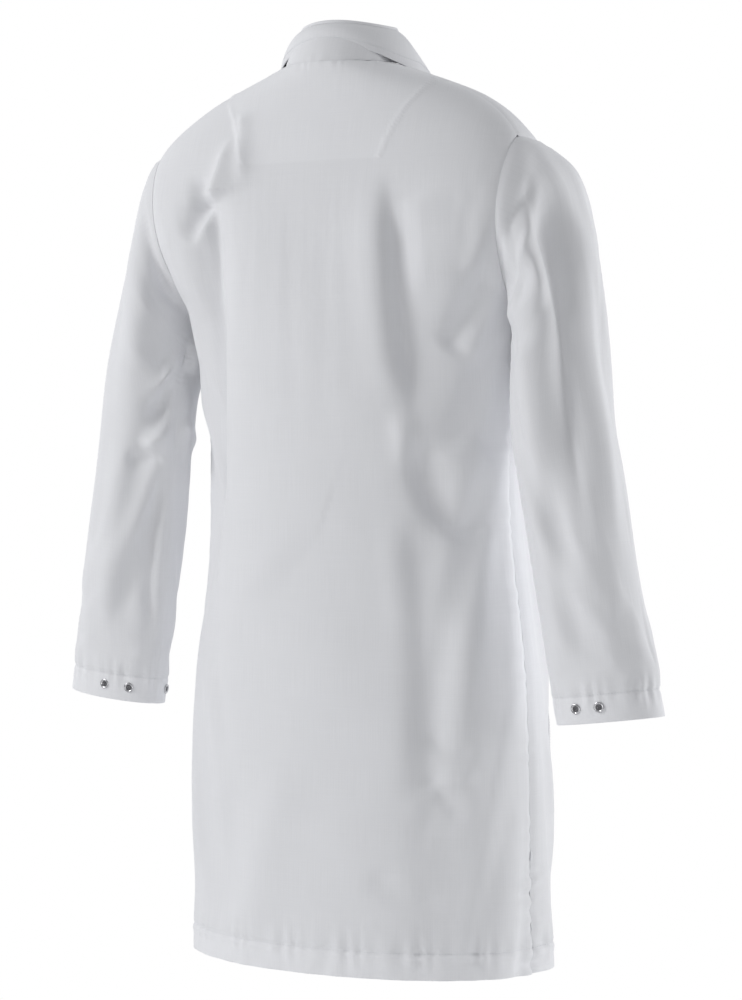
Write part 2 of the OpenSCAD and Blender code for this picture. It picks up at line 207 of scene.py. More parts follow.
def front_edge(z):
    """The front panel's border: side seam, armhole, then shoulder seam."""
    z = np.asarray(z, float)
    seam = SIDE_SEAM - SLIT_GAP * ramp((SLIT_TOP - z) / 20)
    low = mix(front_angle_of(arm_x(z), z), seam, ramp((UNDERARM_REACH - ARMHOLE_DROP - z) / UNDERARM_REACH))
    return mix(low, SHOULDER_SEAM, ramp((z + SHOULDER_DROP + TIP_REACH) / TIP_REACH))


def even_rows(rows, count):
    """Spreads each row's points evenly along its length."""
    out = []
    for row in rows:
        steps = np.linalg.norm(np.diff(row, axis=0), axis=1)
        along = np.concatenate([[0], np.cumsum(steps)])
        even = np.linspace(0, along[-1], count)
        out.append(np.stack([np.interp(even, along, row[:, k]) for k in range(3)], -1))
    return np.array(out)


def body_grid(low_edge, high_edge, heights, count):
    """A grid on the coat's body between two borders, one row for each height."""
    rows = []
    for z in heights:
        turn = np.linspace(float(low_edge(z)), float(high_edge(z)), 400)
        rows.append(skin(turn, z))
    return even_rows(rows, count)


def grid_normals(g):
    """Unit normals of a grid whose rows run down and whose columns run towards -X at the back."""
    return unit(np.cross(np.gradient(g, axis=0), np.gradient(g, axis=1)))


def across_cloth(g, column):
    """Distance along each row of the cloth from one of its columns."""
    steps = np.linalg.norm(np.diff(g, axis=1), axis=2)
    along = np.concatenate([np.zeros((len(g), 1)), np.cumsum(steps, 1)], 1)
    return along - along[:, column][:, None]


def down_cloth(g, column):
    """Distance down the cloth along one of its columns, given to every point of a row."""
    steps = np.linalg.norm(np.diff(g[:, column], axis=0), axis=1)
    return np.repeat(np.concatenate([[0], np.cumsum(steps)])[:, None], g.shape[1], 1)


def grid_faces(rows, columns):
    i, j = np.meshgrid(np.arange(rows - 1), np.arange(columns - 1), indexing="ij")
    a = (i * columns + j).ravel()
    return np.stack([a, a + columns, a + columns + 1, a + 1], 1)


# ---- folds ----
def smooth_path(points, count=60):
    points = np.asarray(points, float)
    rows = np.concatenate([np.arange(len(points))[:, None], points], 1)
    return through(rows, np.linspace(0, len(points) - 1, count))[:, 1:]


def fold(where, path, height, width, other=None, crisp=0.0, fade=(0.25, 0.25)):
    """Height of one fold along a path: width is its half width on the path's left, other on its right.

    where holds the cloth's points as pairs in the path's own terms. crisp goes from 0, a soft round fold,
    to 1, a tight crest with straight sides. fade is the share of the length over which each end dies away.
    """
    line = smooth_path(path)
    other = other or width
    start, step = line[:-1], np.diff(line, axis=0)
    best = np.full(where.shape[:-1], 1e9)
    signed = np.zeros(where.shape[:-1])
    along = np.zeros(where.shape[:-1])
    for i in range(len(step)):
        t = np.clip(((where - start[i]) @ step[i]) / (step[i] @ step[i]), 0, 1)
        off = where - start[i] - t[..., None] * step[i]
        d = np.hypot(off[..., 0], off[..., 1])
        near = d < best
        best = np.where(near, d, best)
        side = step[i][0] * off[..., 1] - step[i][1] * off[..., 0]
        signed = np.where(near, np.sign(side) * d, signed)
        along = np.where(near, (i + t) / len(step), along)
    wide = np.where(signed > 0, width, other)
    ends = ramp(along / max(fade[0], 1e-6)) * ramp((1 - along) / max(fade[1], 1e-6))
    reach = best / wide
    round_top = np.exp(-(reach ** 2))
    tight_top = np.exp(-1.5 * (np.sqrt(reach ** 2 + 0.03) - math.sqrt(0.03)))
    return height * mix(round_top, tight_top, crisp) * ends


def add_folds(where, folds, scale=(1, 1)):
    """The sum of several folds, each given by fold's own arguments, their paths stretched by the scale."""
    total = 0
    for path, *options in folds:
        total = total + fold(where, np.array(path) * scale, *options)
    return total


def waves(u, v, seed, size, strength):
    """Gentle unevenness: a few slow waves in seeded directions."""
    rng = np.random.default_rng(seed)
    total = np.zeros(np.broadcast(u, v).shape)
    for _ in range(9):
        turn = rng.uniform(0, math.pi)
        wave = size * rng.uniform(0.7, 1.6)
        phase = rng.uniform(0, 2 * math.pi)
        total = total + np.sin(2 * math.pi * (u * math.cos(turn) + v * math.sin(turn)) / wave + phase)
    return strength * total / 3


def puckers(along, off, seed, pitch, reach, strength):
    """Small ripples that a row of stitches pulls into the cloth beside it."""
    rng = np.random.default_rng(seed)
    slow = np.sin(2 * math.pi * along / (pitch * 3.7) + rng.uniform(0, 6))
    ripple = np.sin(2 * math.pi * along / pitch + 1.6 * slow + rng.uniform(0, 6))
    return strength * (0.65 + 0.35 * slow) * ripple * bell(off, reach)


def seam_dip(off, depth=0.9, reach=2.4):
    """The narrow valley at a seam."""
    return -depth * bell(off, reach)


# ---- the body's cloth ----
OVER_LIFT = 5.1        # the upper front lies this far off the lower one
TURN_GAP = 1.8         # from a turned hem's outer layer to its inner one
SEAM_STEP = 5.0        # spacing of the cloth's rows


def body_heights():
    top = np.arange(0, -60, -2.4)
    shoulder = np.arange(-60, -140, -3.4)
    long = np.arange(-140, -COAT_LENGTH + HEM_BAND + 4, -SEAM_STEP)
    hem = np.linspace(-COAT_LENGTH + HEM_BAND + 4, -COAT_LENGTH, 15)
    return np.concatenate([top, shoulder, long, hem])


SIM_FRAMES = 30
SIM_SHARE = 0.6        # share of the hanging cloth's ripples that is kept, beside the folds laid out below
SIM_SLACK = 0.02       # share by which the cloth is let out, so that it sags and ripples as it hangs
SIM_LIMIT = 10.0       # no point of the cloth ripples further than this
SIM_REACH = 40.0       # what is wider than this in the simulation's result is left out


def soften(field, steps):
    """Averages a grid of vectors over about the given number of rows and columns."""
    reach = np.arange(-3 * steps, 3 * steps + 1)
    weights = bell(reach, steps)
    weights /= weights.sum()
    for axis in (0, 1):
        room = [(0, 0)] * field.ndim
        room[axis] = (3 * steps, 3 * steps)
        wide = np.pad(field, room, mode="edge")
        count = field.shape[axis]
        field = sum(w * np.take(wide, np.arange(count) + k, axis) for k, w in enumerate(weights))
    return field


def spread(coarse, rows, columns, shape):
    """Fills a whole grid from values known on some of its rows and columns."""
    tall = np.empty((shape[0], len(columns), 3))
    whole = np.empty(shape)
    for k in range(3):
        for j in range(len(columns)):
            tall[:, j, k] = np.interp(np.arange(shape[0]), rows, coarse[:, j, k])
        for i in range(shape[0]):
            whole[i, :, k] = np.interp(np.arange(shape[1]), columns, tall[i, :, k])
    return whole


def simulate(g, hold):
    """Hangs a grid of cloth in Blender's cloth simulation and gives how far each point moved."""
    scene = bpy.context.scene
    mesh = bpy.data.meshes.new("hanging")
    mesh.from_pydata((g.reshape(-1, 3) * MM).tolist(), [], grid_faces(*g.shape[:2]).tolist())
    piece = bpy.data.objects.new("hanging", mesh)
    scene.collection.objects.link(piece)
    group = piece.vertex_groups.new(name="hold")
    levels = np.round(hold, 2).ravel()
    for level in np.unique(levels):
        group.add(np.nonzero(levels == level)[0].tolist(), float(level), "REPLACE")
    cloth = piece.modifiers.new("cloth", "CLOTH")
    settings = cloth.settings
    settings.quality = 5
    settings.mass = 0.2
    settings.tension_stiffness = 15
    settings.compression_stiffness = 15
    settings.shear_stiffness = 5
    settings.bending_stiffness = 1.0
    settings.air_damping = 3
    settings.vertex_group_mass = "hold"
    settings.pin_stiffness = 0.5
    settings.shrink_min = -SIM_SLACK
    cloth.collision_settings.use_collision = False
    cloth.collision_settings.use_self_collision = False
    cloth.point_cache.frame_start = 1
    cloth.point_cache.frame_end = SIM_FRAMES
    for frame_number in range(1, SIM_FRAMES + 1):
        scene.frame_set(frame_number)
    shape = piece.evaluated_get(bpy.context.evaluated_depsgraph_get()).to_mesh()
    flat = np.empty(len(mesh.vertices) * 3, np.float32)
    shape.vertices.foreach_get("co", flat)
    scene.frame_set(1)
    bpy.data.objects.remove(piece)
    bpy.data.meshes.remove(mesh)
    return flat.reshape(g.shape) / MM - g


def hang(g, hold):
    """Lets a grid of cloth ripple as it hangs. hold is 1 where it is sewn fast and lower where it is free."""
    rows = np.unique(np.append(np.arange(0, g.shape[0], 2), g.shape[0] - 1))
    columns = np.unique(np.append(np.arange(0, g.shape[1], 2), g.shape[1] - 1))
    hold = np.clip(hold, 0.01, 1)
    few = np.ix_(rows, columns)
    moved = simulate(g[few], hold[few])
    spacing = np.linalg.norm(np.diff(g[few], axis=1), axis=2).mean()
    ripples = soften(moved, 1) - soften(moved, int(round(SIM_REACH / spacing)))
    ripples *= SIM_SHARE * (1 - hold[few] ** 4)[..., None]
    far = np.linalg.norm(ripples, axis=-1, keepdims=True)
    return g + spread(ripples * SIM_LIMIT / (far + SIM_LIMIT), rows, columns, g.shape)


def turn_hem(g, sign, band):
    """Folds the cloth's last rows up inside: the rows go round the fold and back up by the band's height."""
    n = grid_normals(g) * sign
    down = unit(g[-1] - g[-2])
    fold_rows = [g[-1] - n[-1] * TURN_GAP * (1 - math.cos(a)) / 2 + down * TURN_GAP * math.sin(a) / 2
                 for a in np.radians([45, 90, 135])]
    rise = np.cumsum(np.linalg.norm(g[::-1][1:] - g[::-1][:-1], axis=2).mean(1))
    last = int(np.searchsorted(rise, band)) + 2
    inside = (g - n * TURN_GAP)[::-1][:last]
    return np.concatenate([g, fold_rows, inside])


# A fold's path, height, half width on its left, half width on its right, crispness and fading ends,
# listed. A path holds distances across the cloth, from the middle towards the left side, and heights.
BACK_FOLDS = [
    # the left shoulder's drag folds and the long crease below them
    ([(108, -72), (122, -120), (138, -166), (164, -208)], 10, 10, 26, 0.8),
    ([(104, -46), (95, -84), (88, -140)], 4, 9, 12, 0.5),
    ([(150, -118), (152, -160), (176, -196)], -9, 12),
    ([(138, -140), (132, -186), (141, -264), (162, -378), (173, -482), (179, -580), (184, -760)],
     -22, 30, 27, 1.0, (0.06, 0.4)),
    ([(196, -262), (206, -330), (214, -430)], 5, 14),
    # the step beside the right shoulder blade
    ([(-98, -120), (-106, -198), (-110, -268), (-117, -336), (-134, -410)], -14, 16, 46, 0.4, (0.3, 0.3)),
    ([(-84, -120), (-92, -198), (-96, -268), (-103, -336), (-118, -410)], 7, 30, 10),
    ([(-128, -150), (-140, -200), (-146, -270)], 5, 18, 30),
    ([(-236, -214), (-205, -262), (-176, -306), (-160, -330)], -8, 15, 20, 0.2),
    ([(-232, -250), (-205, -296), (-180, -340)], 5, 15),
    ([(-240, -170), (-216, -206), (-190, -250)], 4, 13),
    # the sagging fold over the waist
    ([(-108, -380), (-114, -424), (-122, -470)], 6, 13, 15, 0.0, (0.4, 0.4)),
    ([(-124, -410), (-131, -456), (-148, -498), (-178, -520), (-216, -512), (-246, -470)],
     -13, 14, 22, 0.0, (0.2, 0.6)),
    ([(-160, -420), (-182, -456), (-214, -430)], 7, 30),
    ([(-256, -380), (-262, -470), (-258, -560)], 6, 18),
    # below the waist
    ([(-122, -500), (-131, -600), (-137, -710), (-141, -820), (-132, -954)], -10, 20, 36, 0.0, (0.15, 0.3)),
    ([(-176, -580), (-186, -720), (-180, -930)], 8, 28, 34),
    ([(-136, -738), (-156, -764), (-196, -766)], -3, 10, 14),
    ([(-134, -790), (-158, -818), (-180, -850)], -3, 10, 14),
    ([(-112, -850), (-150, -806), (-200, -792)], 3.5, 12),
    ([(-70, -900), (-110, -930), (-160, -925)], -3, 16),
    ([(70, -560), (20, -600), (-60, -604), (-120, -598)], -5, 60, 90),
    ([(92, -1000), (64, -880), (30, -780)], 5, 34),
    ([(130, -990), (120, -900), (118, -800)], -4, 26),
    ([(210, -560), (222, -760), (214, -960)], 6, 30),
]


def back_relief(u, z):
    """How far the back's cloth stands off its plain shape. u runs from the middle towards the left side."""
    h = add_folds(np.stack([u, z], -1), BACK_FOLDS)
    h += waves(u, z, 3, 330, 1.8) * ramp(-z / 200)
    return h + waves(u, z, 4, 120, 0.5)


FACING_DROP = 112


def facing_half(z):
    """Half width of the neck facing: it narrows in a curve from the shoulders down."""
    return np.interp(-z, [0, 28, 60, 88, FACING_DROP], [160, 134, 110, 97, 88])


def facing_show(u, z):
    """1 where the neck facing lies behind the cloth, with its edges for a ridge; both also mark where
    show-through light is painted on the back.
    """
    side = facing_half(z) - np.abs(u - 2)
    shows = ramp((np.minimum(side, z + FACING_DROP) + 1.5) / 3)
    return shows, bell(side, 2.2) * ramp((z + FACING_DROP + 2) / 3)


BACK, FRONT = 2, 4                 # a panel's own share of a seam's seed
LEFT_SEAM, RIGHT_SEAM = 11, 12     # seeds that a seam's two panels share, so that their borders meet


def seam_edges(u, z, column, seed, panel):
    """The seam's valley and puckers along a panel's side border, and the looser ripples of the open slit."""
    off = np.abs(u - u[:, column][:, None])
    low = ramp((-z - ARMHOLE_DROP + 10) / 20)
    slit = ramp((SLIT_TOP - z) / 30)
    total = seam_dip(off, 0.5, 2.6) + low * (seam_dip(off, 0.8, 2.6) + 0.7 * bell(off - 6, 3.5))
    total += low * (1 - slit) * puckers(z, off, seed, 23, 15, 0.9)
    open_edge = puckers(z, off - 6, seed + panel, 26, 15, 2.6) + puckers(z, off, seed + 9, 14, 9, 1.0)
    return total + slit * open_edge


def hem_marks(u, z, seed):
    """The turned hem: its stitch line is pulled in, and the cloth ripples along it."""
    off = z + COAT_LENGTH - HEM_BAND
    line = seam_dip(off, 1.7, 1.7) + 0.8 * bell(off + 5, 3.5)
    return line + puckers(u, off, seed, 21, 17, 1.7) + puckers(u, off + HEM_BAND, seed + 3, 40, 16, 0.9)


def hem_under(z):
    """1 where the turned hem lies behind the cloth, which also marks where show-through light is painted."""
    return ramp((-COAT_LENGTH + HEM_BAND + 1 - z) / 2)


def back_cloth():
    heights = body_heights()
    g = body_grid(back_edge, lambda z: 180 - back_edge(z), heights, 133)
    middle = g.shape[1] // 2
    u = -across_cloth(g, middle)
    z = np.repeat(heights[:, None], g.shape[1], 1)
    shows, ridge = facing_show(u, z)
    edge = seam_edges(u, z, 0, LEFT_SEAM, BACK) + seam_edges(u, z, -1, RIGHT_SEAM, BACK) + hem_marks(u, z, 5)
    edge += 1.1 * ridge + 0.3 * shows
    edge += seam_dip(z, 0.8, 2.5) + puckers(u, z, 21, 12, 10, 0.35)
    inset = ramp(np.minimum(u - u[:, -1:], u[:, :1] - u) / 30)
    fast = np.maximum(1 - ramp(np.minimum(u - u[:, -1:], u[:, :1] - u) / 25), 1 - ramp((-z - 40) / 240))
    g = hang(g, fast)
    g = g + grid_normals(g) * (back_relief(u, z) * inset * ramp(-z / 40))[..., None]
    g = g + grid_normals(g) * edge[..., None]
    # painted show-through light: lighter over the neck facing, lighter still along its edges, and over the
    # turned hem
    under = np.maximum(0.7 * shows + 1.6 * ridge, hem_under(z))
    return g, u, under


def front_edge_x(z):
    """The front's inner border: straight down from the first stud, and the V above it."""
    rise = np.clip((z + V_DROP + 8) / (V_DROP + 8), 0, 1)
    return mix(-FRONT_OVERLAP, NECK_HALF - 1, rise ** 0.85)


# The same for a front, across the cloth from the fold line towards the side seam
FRONT_FOLDS = [
    ([(40, -150), (44, -260), (30, -420)], -5, 24),
    ([(96, -250), (70, -330), (60, -430)], 5, 18),
    ([(84, -520), (92, -700), (88, -960)], 5, 30),
    ([(30, -560), (26, -760), (34, -980)], -4, 28),
    ([(140, -420), (132, -600), (140, -900)], -4, 22),
]


def front_relief(u, z, side):
    """Relief of a front panel. u runs from the fold line towards the side seam."""
    seed = 30 if side > 0 else 40
    h = add_folds(np.stack([u, z], -1), FRONT_FOLDS)
    h += waves(u, z, seed, 300, 1.3) * ramp(-z / 200)
    h += waves(u, z, seed + 1, 110, 0.35)
    return h


def lift_of(x, z, lift):
    """How far the cloth is lifted where one front lies over the other."""
    over = ramp((FRONT_FOLD - x) / (FRONT_FOLD - FRONT_OVERLAP))
    return lift * over * ramp((-z - 110) / 100)


def front_cloth(side):
    """One whole front, from the side seam to its free edge, with the column of the fold line."""
    heights = body_heights()
    outer_count, inner_count = 62, 31
    outer = body_grid(front_edge, lambda z: front_angle_of(FRONT_FOLD, z), heights, outer_count)
    inner = body_grid(lambda z: front_angle_of(FRONT_FOLD, z), lambda z: front_angle_of(front_edge_x(z), z),
                      heights, inner_count)
    g = np.concatenate([outer, inner[:, 1:]], 1)
    fold_column = outer_count - 1
    u = -across_cloth(g, fold_column)
    z = np.repeat(heights[:, None], g.shape[1], 1)
    seam_seed, hem_seed = (LEFT_SEAM, 15) if side > 0 else (RIGHT_SEAM, 16)
    edge = seam_edges(u, z, 0, seam_seed, FRONT) + hem_marks(u, z, hem_seed)
    edge -= 1.2 * ramp((SLIT_TOP - z) / 30) * (1 - ramp((u[:, :1] - u - 4) / 20))
    edge += seam_dip(z, 0.8, 2.5)
    inset = ramp((u[:, :1] - u) / 30) * ramp((u - u[:, -1:] - 34) / 30)
    fast = 1 - ramp((u[:, :1] - u) / 25) * ramp((u - u[:, -1:] - 62) / 20) * ramp((-z - 40) / 80)
    g = hang(g, fast)
    g = g - grid_normals(g) * (front_relief(u, z, side) * inset * ramp(-z / 60))[..., None]
    g = g - grid_normals(g) * edge[..., None]
    g[..., 1] -= lift_of(g[..., 0], z, OVER_LIFT if side > 0 else 0)
    # painted show-through light over the turned hem and where the other front lies behind
    under = np.maximum(hem_under(z), ramp((38 - g[..., 0]) / 2) * ramp((-V_DROP + 60 - z) / 4))
    return g, u, under, fold_column


# ---- sleeves ----
SEAM_TURN = 159        # where the sleeve's own seam runs; 0 is the outer edge, 90 the back
SLEEVE_LENGTH = 640
TURN_WIDTH = 1.2       # millimetres of cloth to a degree round the sleeve
SPLIT = 0.48           # the sleeve is cut into two pieces at this share of its length
CUFF_T = 1 - CUFF_BAND / (CUFF_DROP - ELBOW_DROP) * (1 - ELBOW_T)


def sleeve_plain(t, turn):
    """A point on the plain left sleeve; t is the share of its length."""
    r = through(SLEEVE_ROWS, t)
    turn = np.radians(turn)
    outer = np.stack([r[..., 1], r[..., 6], r[..., 2]], -1)
    inner = np.stack([r[..., 3], r[..., 6], r[..., 4]], -1)
    p = (outer + inner) / 2 + (outer - inner) / 2 * np.cos(turn)[..., None]
    p[..., 1] += r[..., 5] * np.sin(turn)
    return p


def armhole(turn):
    """The armhole's border on the body: turn 0 is the shoulder tip, 90 the back, 180 the bottom."""
    middle = -(ARMHOLE_DROP + SHOULDER_DROP) / 2
    z = middle + (ARMHOLE_DROP - SHOULDER_DROP) / 2 * np.cos(np.radians(turn))
    back = ramp(0.5 + np.sin(np.radians(turn)) * 2)
    return skin(mix(front_angle_of(arm_x(z), z), angle_of(arm_x(z), z), back), z)


# Folds of the two sleeves, whose paths run over the turn round the sleeve and the share of its length
RIGHT_FOLDS = [
    ([(96, 0.03), (70, 0.045), (45, 0.07)], -6, 12, 22, 0.4),
    ([(128, 0.05), (104, 0.09), (88, 0.20)], -9, 14, 20),
    ([(86, 0.07), (76, 0.14), (72, 0.26)], 9, 12, 18, 0.6),
    ([(58, 0.06), (50, 0.14), (51, 0.30), (59, 0.505), (74, 0.78)], -13, 19, 26, 0.2),
    ([(104, 0.26), (98, 0.42), (104, 0.66)], 7, 22),
    ([(22, 0.12), (16, 0.29), (18, 0.50), (33, 0.80)], 6, 16, 24, 0.4),
    ([(84, 0.46), (96, 0.72), (88, 0.90)], -5, 18),
    ([(120, 0.60), (118, 0.75), (110, 0.92)], 4, 18),
    ([(150, 0.08), (126, 0.20), (116, 0.34)], -6, 14),
]
LEFT_FOLDS = [
    ([(176, 0.06), (168, 0.12), (148, 0.265), (118, 0.42)], 13, 12, 24, 0.7),
    ([(168, 0.21), (150, 0.33), (126, 0.47)], -10, 14, 20, 0.3),
    ([(184, 0.42), (150, 0.465), (116, 0.52)], 9, 13, 20, 0.5),
    ([(150, 0.53), (124, 0.545), (96, 0.56)], -5, 14),
    ([(62, 0.02), (101, 0.025), (130, 0.06)], -7, 14),
    ([(110, 0.08), (100, 0.20), (104, 0.34)], 6, 20),
    ([(94, 0.50), (90, 0.75), (96, 0.92)], 6, 20),
    ([(148, 0.56), (138, 0.74), (165, 0.92)], -7, 14, 18),
    ([(60, 0.12), (70, 0.40), (64, 0.80)], -6, 24),
]
SLEEVE_FOLDS = [
    ([(270, 0.10), (262, 0.40), (268, 0.80)], -5, 30),
    ([(300, 0.30), (250, 0.44), (215, 0.52)], 5, 16),
    ([(310, 0.42), (260, 0.54), (225, 0.60)], -5, 14),
]


def sleeve_relief(turn, t, side):
    """How far a sleeve's cloth stands off its plain shape."""
    scale = (TURN_WIDTH, SLEEVE_LENGTH)
    folds = (LEFT_FOLDS if side > 0 else RIGHT_FOLDS) + SLEEVE_FOLDS
    h = add_folds(np.stack([turn, t], -1) * scale, folds, scale)
    h += waves(turn * TURN_WIDTH, t * SLEEVE_LENGTH, 50 + side, 210, 1.2)
    return h * ramp(t / 0.05) * ramp((1 - t) / 0.08)


def sleeve_cloth(side):
    rows = np.concatenate([np.linspace(0, 0.05, 9)[:-1], np.linspace(0.05, SPLIT, 60)[:-1],
                           np.linspace(SPLIT, CUFF_T - 0.01, 56)[:-1], np.linspace(CUFF_T - 0.01, 1, 14)])
    turns = np.linspace(SEAM_TURN - 360, SEAM_TURN, 121)
    t, turn = np.meshgrid(rows, turns, indexing="ij")
    g = sleeve_plain(t, turn)
    start = armhole(turns) - sleeve_plain(np.zeros_like(turns), turns)
    g = g + start[None] * (1 - ramp(t / 0.11))[..., None]
    u = across_cloth(g, 60)
    v = down_cloth(g, 60)
    turn_around = turn % 360
    off = np.minimum(u - u[:, :1], u[:, -1:] - u)
    fast = 1 - ramp(off / 20) * ramp(v / 40) * ramp((v[-1:] - v - CUFF_BAND) / 30)
    g = hang(g, fast)
    g = g + grid_normals(g) * (sleeve_relief(turn_around, t, side) * ramp(off / 20))[..., None]
    h = seam_dip(off, 0.9, 2.2) + puckers(v, off, 80 + side, 21, 12, 0.35)
    h += seam_dip(v - 3, 1.2, 2) + bell(v - 7, 5)
    cuff = (t - CUFF_T) * SLEEVE_LENGTH
    h += seam_dip(cuff, 1.6, 1.7) + puckers(u, cuff, 90 + side, 16, 14, 1.6)
    g = g + grid_normals(g) * h[..., None]
    # painted show-through light over the cuff's turned hem
    under = ramp(cuff / 2)
    split_row = int(np.argmin(np.abs(rows - SPLIT)))
    return g, u, under, split_row, rows


# ---- making meshes ----
def link_mesh(name, points, faces, material, marks, corner_normals=None):
    mesh = bpy.data.meshes.new(name)
    mesh.from_pydata((points * MM).tolist(), [], faces.tolist() if hasattr(faces, "tolist") else faces)
    mesh.materials.append(material)
    for mark, values in marks.items():
        kind, key = ("FLOAT", "value") if values.ndim == 1 else ("FLOAT_VECTOR", "vector")
        layer = mesh.attributes.new(mark, kind, "POINT")
        layer.data.foreach_set(key, values.astype(np.float32).ravel())
    mesh.shade_smooth()
    if corner_normals is not None:
        mesh.normals_split_custom_set(corner_normals.tolist())
    piece = bpy.data.objects.new(name, mesh)
    bpy.context.scene.collection.objects.link(piece)
    return piece


def shell(name, g, normals, material, sign=1, thickness=CLOTH, u=None, under=None, v=None):
    """A closed thin sheet. g is its outer face and normals point away from it; sign tells the grid's turn."""
    rows, columns = g.shape[:2]
    count = rows * columns
    if u is None:
        u = across_cloth(g, columns // 2)
    if v is None:
        v = down_cloth(g, columns // 2)
    if under is None:
        under = np.zeros((rows, columns))
    points = np.concatenate([g.reshape(-1, 3), (g - normals * thickness).reshape(-1, 3)])
    outer = grid_faces(rows, columns)
    inner = outer[:, ::-1] + count
    i, j = np.arange(rows - 1), np.arange(columns - 1)
    top = np.stack([j, j + 1, j + 1 + count, j + count], 1)
    low = j + (rows - 1) * columns
    bottom = np.stack([low + 1, low, low + count, low + 1 + count], 1)
    left = np.stack([(i + 1) * columns, i * columns, i * columns + count, (i + 1) * columns + count], 1)
    edge = i * columns + columns - 1
    right = np.stack([edge, edge + columns, edge + columns + count, edge + count], 1)
    rim = np.concatenate([top, bottom, left, right])
    faces = np.concatenate([outer, inner, rim])
    if sign < 0:
        faces = faces[:, ::-1]
    flat = normals.reshape(-1, 3)
    both = np.concatenate([flat, -flat])
    corners = both[faces.ravel()].reshape(-1, 4, 3)
    corners[2 * len(outer):] = 0
    # the under mark tells the material where show-through light is painted
    marks = {"cloth": np.tile(np.stack([u.ravel(), v.ravel(), 0 * u.ravel()], 1) * MM, (2, 1)),
             "under": np.tile(under.ravel(), 2)}
    return link_mesh(name, points, faces, material, marks, corners.reshape(-1, 3))


def cloth_size(g):
    """Width, length and area of a grid of cloth, in metres."""
    wide = np.linalg.norm(np.diff(g, axis=1), axis=2).sum(1).max() * MM
    long = np.linalg.norm(np.diff(g, axis=0), axis=2).sum(0).max() * MM
    a = g[1:, 1:] - g[:-1, :-1]
    b = g[1:, :-1] - g[:-1, 1:]
    area = float((np.linalg.norm(np.cross(a, b), axis=2) / 2).sum()) * MM * MM
    return float(wide), float(long), area


def declare(g, nodes):
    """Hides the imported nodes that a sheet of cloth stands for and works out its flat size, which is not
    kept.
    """
    if nodes:
        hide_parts(*nodes)
    wide, long, area = cloth_size(g)
    area = min(max(area, 0.3 * wide * long), wide * long)


STITCH = 2.6           # length of one stitch
STITCH_PITCH = 3.3
THREAD = 0.32          # half thickness of the thread


def stitches(name, runs, material):
    """Rows of separate stitches; each run is a line of points on the cloth with its normals."""
    ring = np.radians(np.arange(5) * 72)
    shares = np.array([-0.5, -0.25, 0, 0.25, 0.5])
    rises = np.array([-0.35, 0.15, 0.3, 0.15, -0.35])
    sizes = np.array([0.55, 0.95, 1, 0.95, 0.55])
    points, faces, along_marks = [], [], []
    for line, normals in runs:
        steps = np.linalg.norm(np.diff(line, axis=0), axis=1)
        along = np.concatenate([[0], np.cumsum(steps)])
        count = max(int(along[-1] / STITCH_PITCH), 1)
        for k in range(count):
            s = (k + 0.5) * along[-1] / count
            at = np.array([np.interp(s + shares * STITCH, along, line[:, c]) for c in range(3)]).T
            n = unit(np.array([np.interp(s, along, normals[:, c]) for c in range(3)]))
            way = unit(at[-1] - at[0])
            side = unit(np.cross(way, n))
            base = len(points) * 25
            centre = at + n * (rises * 0.6 + 0.1)[:, None]
            body = centre[:, None] + THREAD * sizes[:, None, None] * (
                side * np.cos(ring)[None, :, None] * 1.2 + n * np.sin(ring)[None, :, None])
            points.append(body.reshape(-1, 3))
            for i in range(4):
                for j in range(5):
                    m = (j + 1) % 5
                    a = base + i * 5
                    faces.append((a + j, a + m, a + 5 + m, a + 5 + j))
            faces.append(tuple(base + j for j in (4, 3, 2, 1, 0)))
            faces.append(tuple(base + 20 + j for j in range(5)))
            along_marks.append(np.repeat(s + shares * STITCH, 5))
    flat = np.concatenate(points)
    marks = {"cloth": np.stack([np.concatenate(along_marks), 0 * flat[:, 0], 0 * flat[:, 0]], 1) * MM}
    piece = link_mesh(name, flat, faces, material, marks)
    return piece


def lathe(name, profiles, places, materials):
    """Turned pieces. A profile has its points, material and ripple; a place is a point and an axis."""
    sides = 48
    ring = np.linspace(0, 2 * math.pi, sides, endpoint=False)
    points, faces, slots = [], [], []
    base = 0
    for origin, axis in places:
        axis = unit(np.asarray(axis, float))
        first = unit(np.cross(axis, [0.3, 0.2, 1.0]))
        second = np.cross(axis, first)
        for profile, index, ripple in profiles:
            for radius, high in profile:
                wavy = high + ripple * np.cos(ring * 12) * (radius > 0.8)
                circle = np.cos(ring)[:, None] * first + np.sin(ring)[:, None] * second
                points.append(origin + radius * circle + wavy[:, None] * axis)
            for i in range(len(profile) - 1):
                for j in range(sides):
                    m = (j + 1) % sides
                    a, b = base + i * sides, base + (i + 1) * sides
                    faces.append((a + j, a + m, b + m, b + j))
                    slots.append(index)
            for row, order in ((0, -1), (len(profile) - 1, 1)):
                faces.append(tuple(base + row * sides + j for j in range(sides))[::order])
                slots.append(index)
            base += len(profile) * sides
    piece = link_mesh(name, np.concatenate(points), faces, materials[0], {})
    for extra in materials[1:]:
        piece.data.materials.append(extra)
    piece.data.polygons.foreach_set("material_index", slots)
    return piece


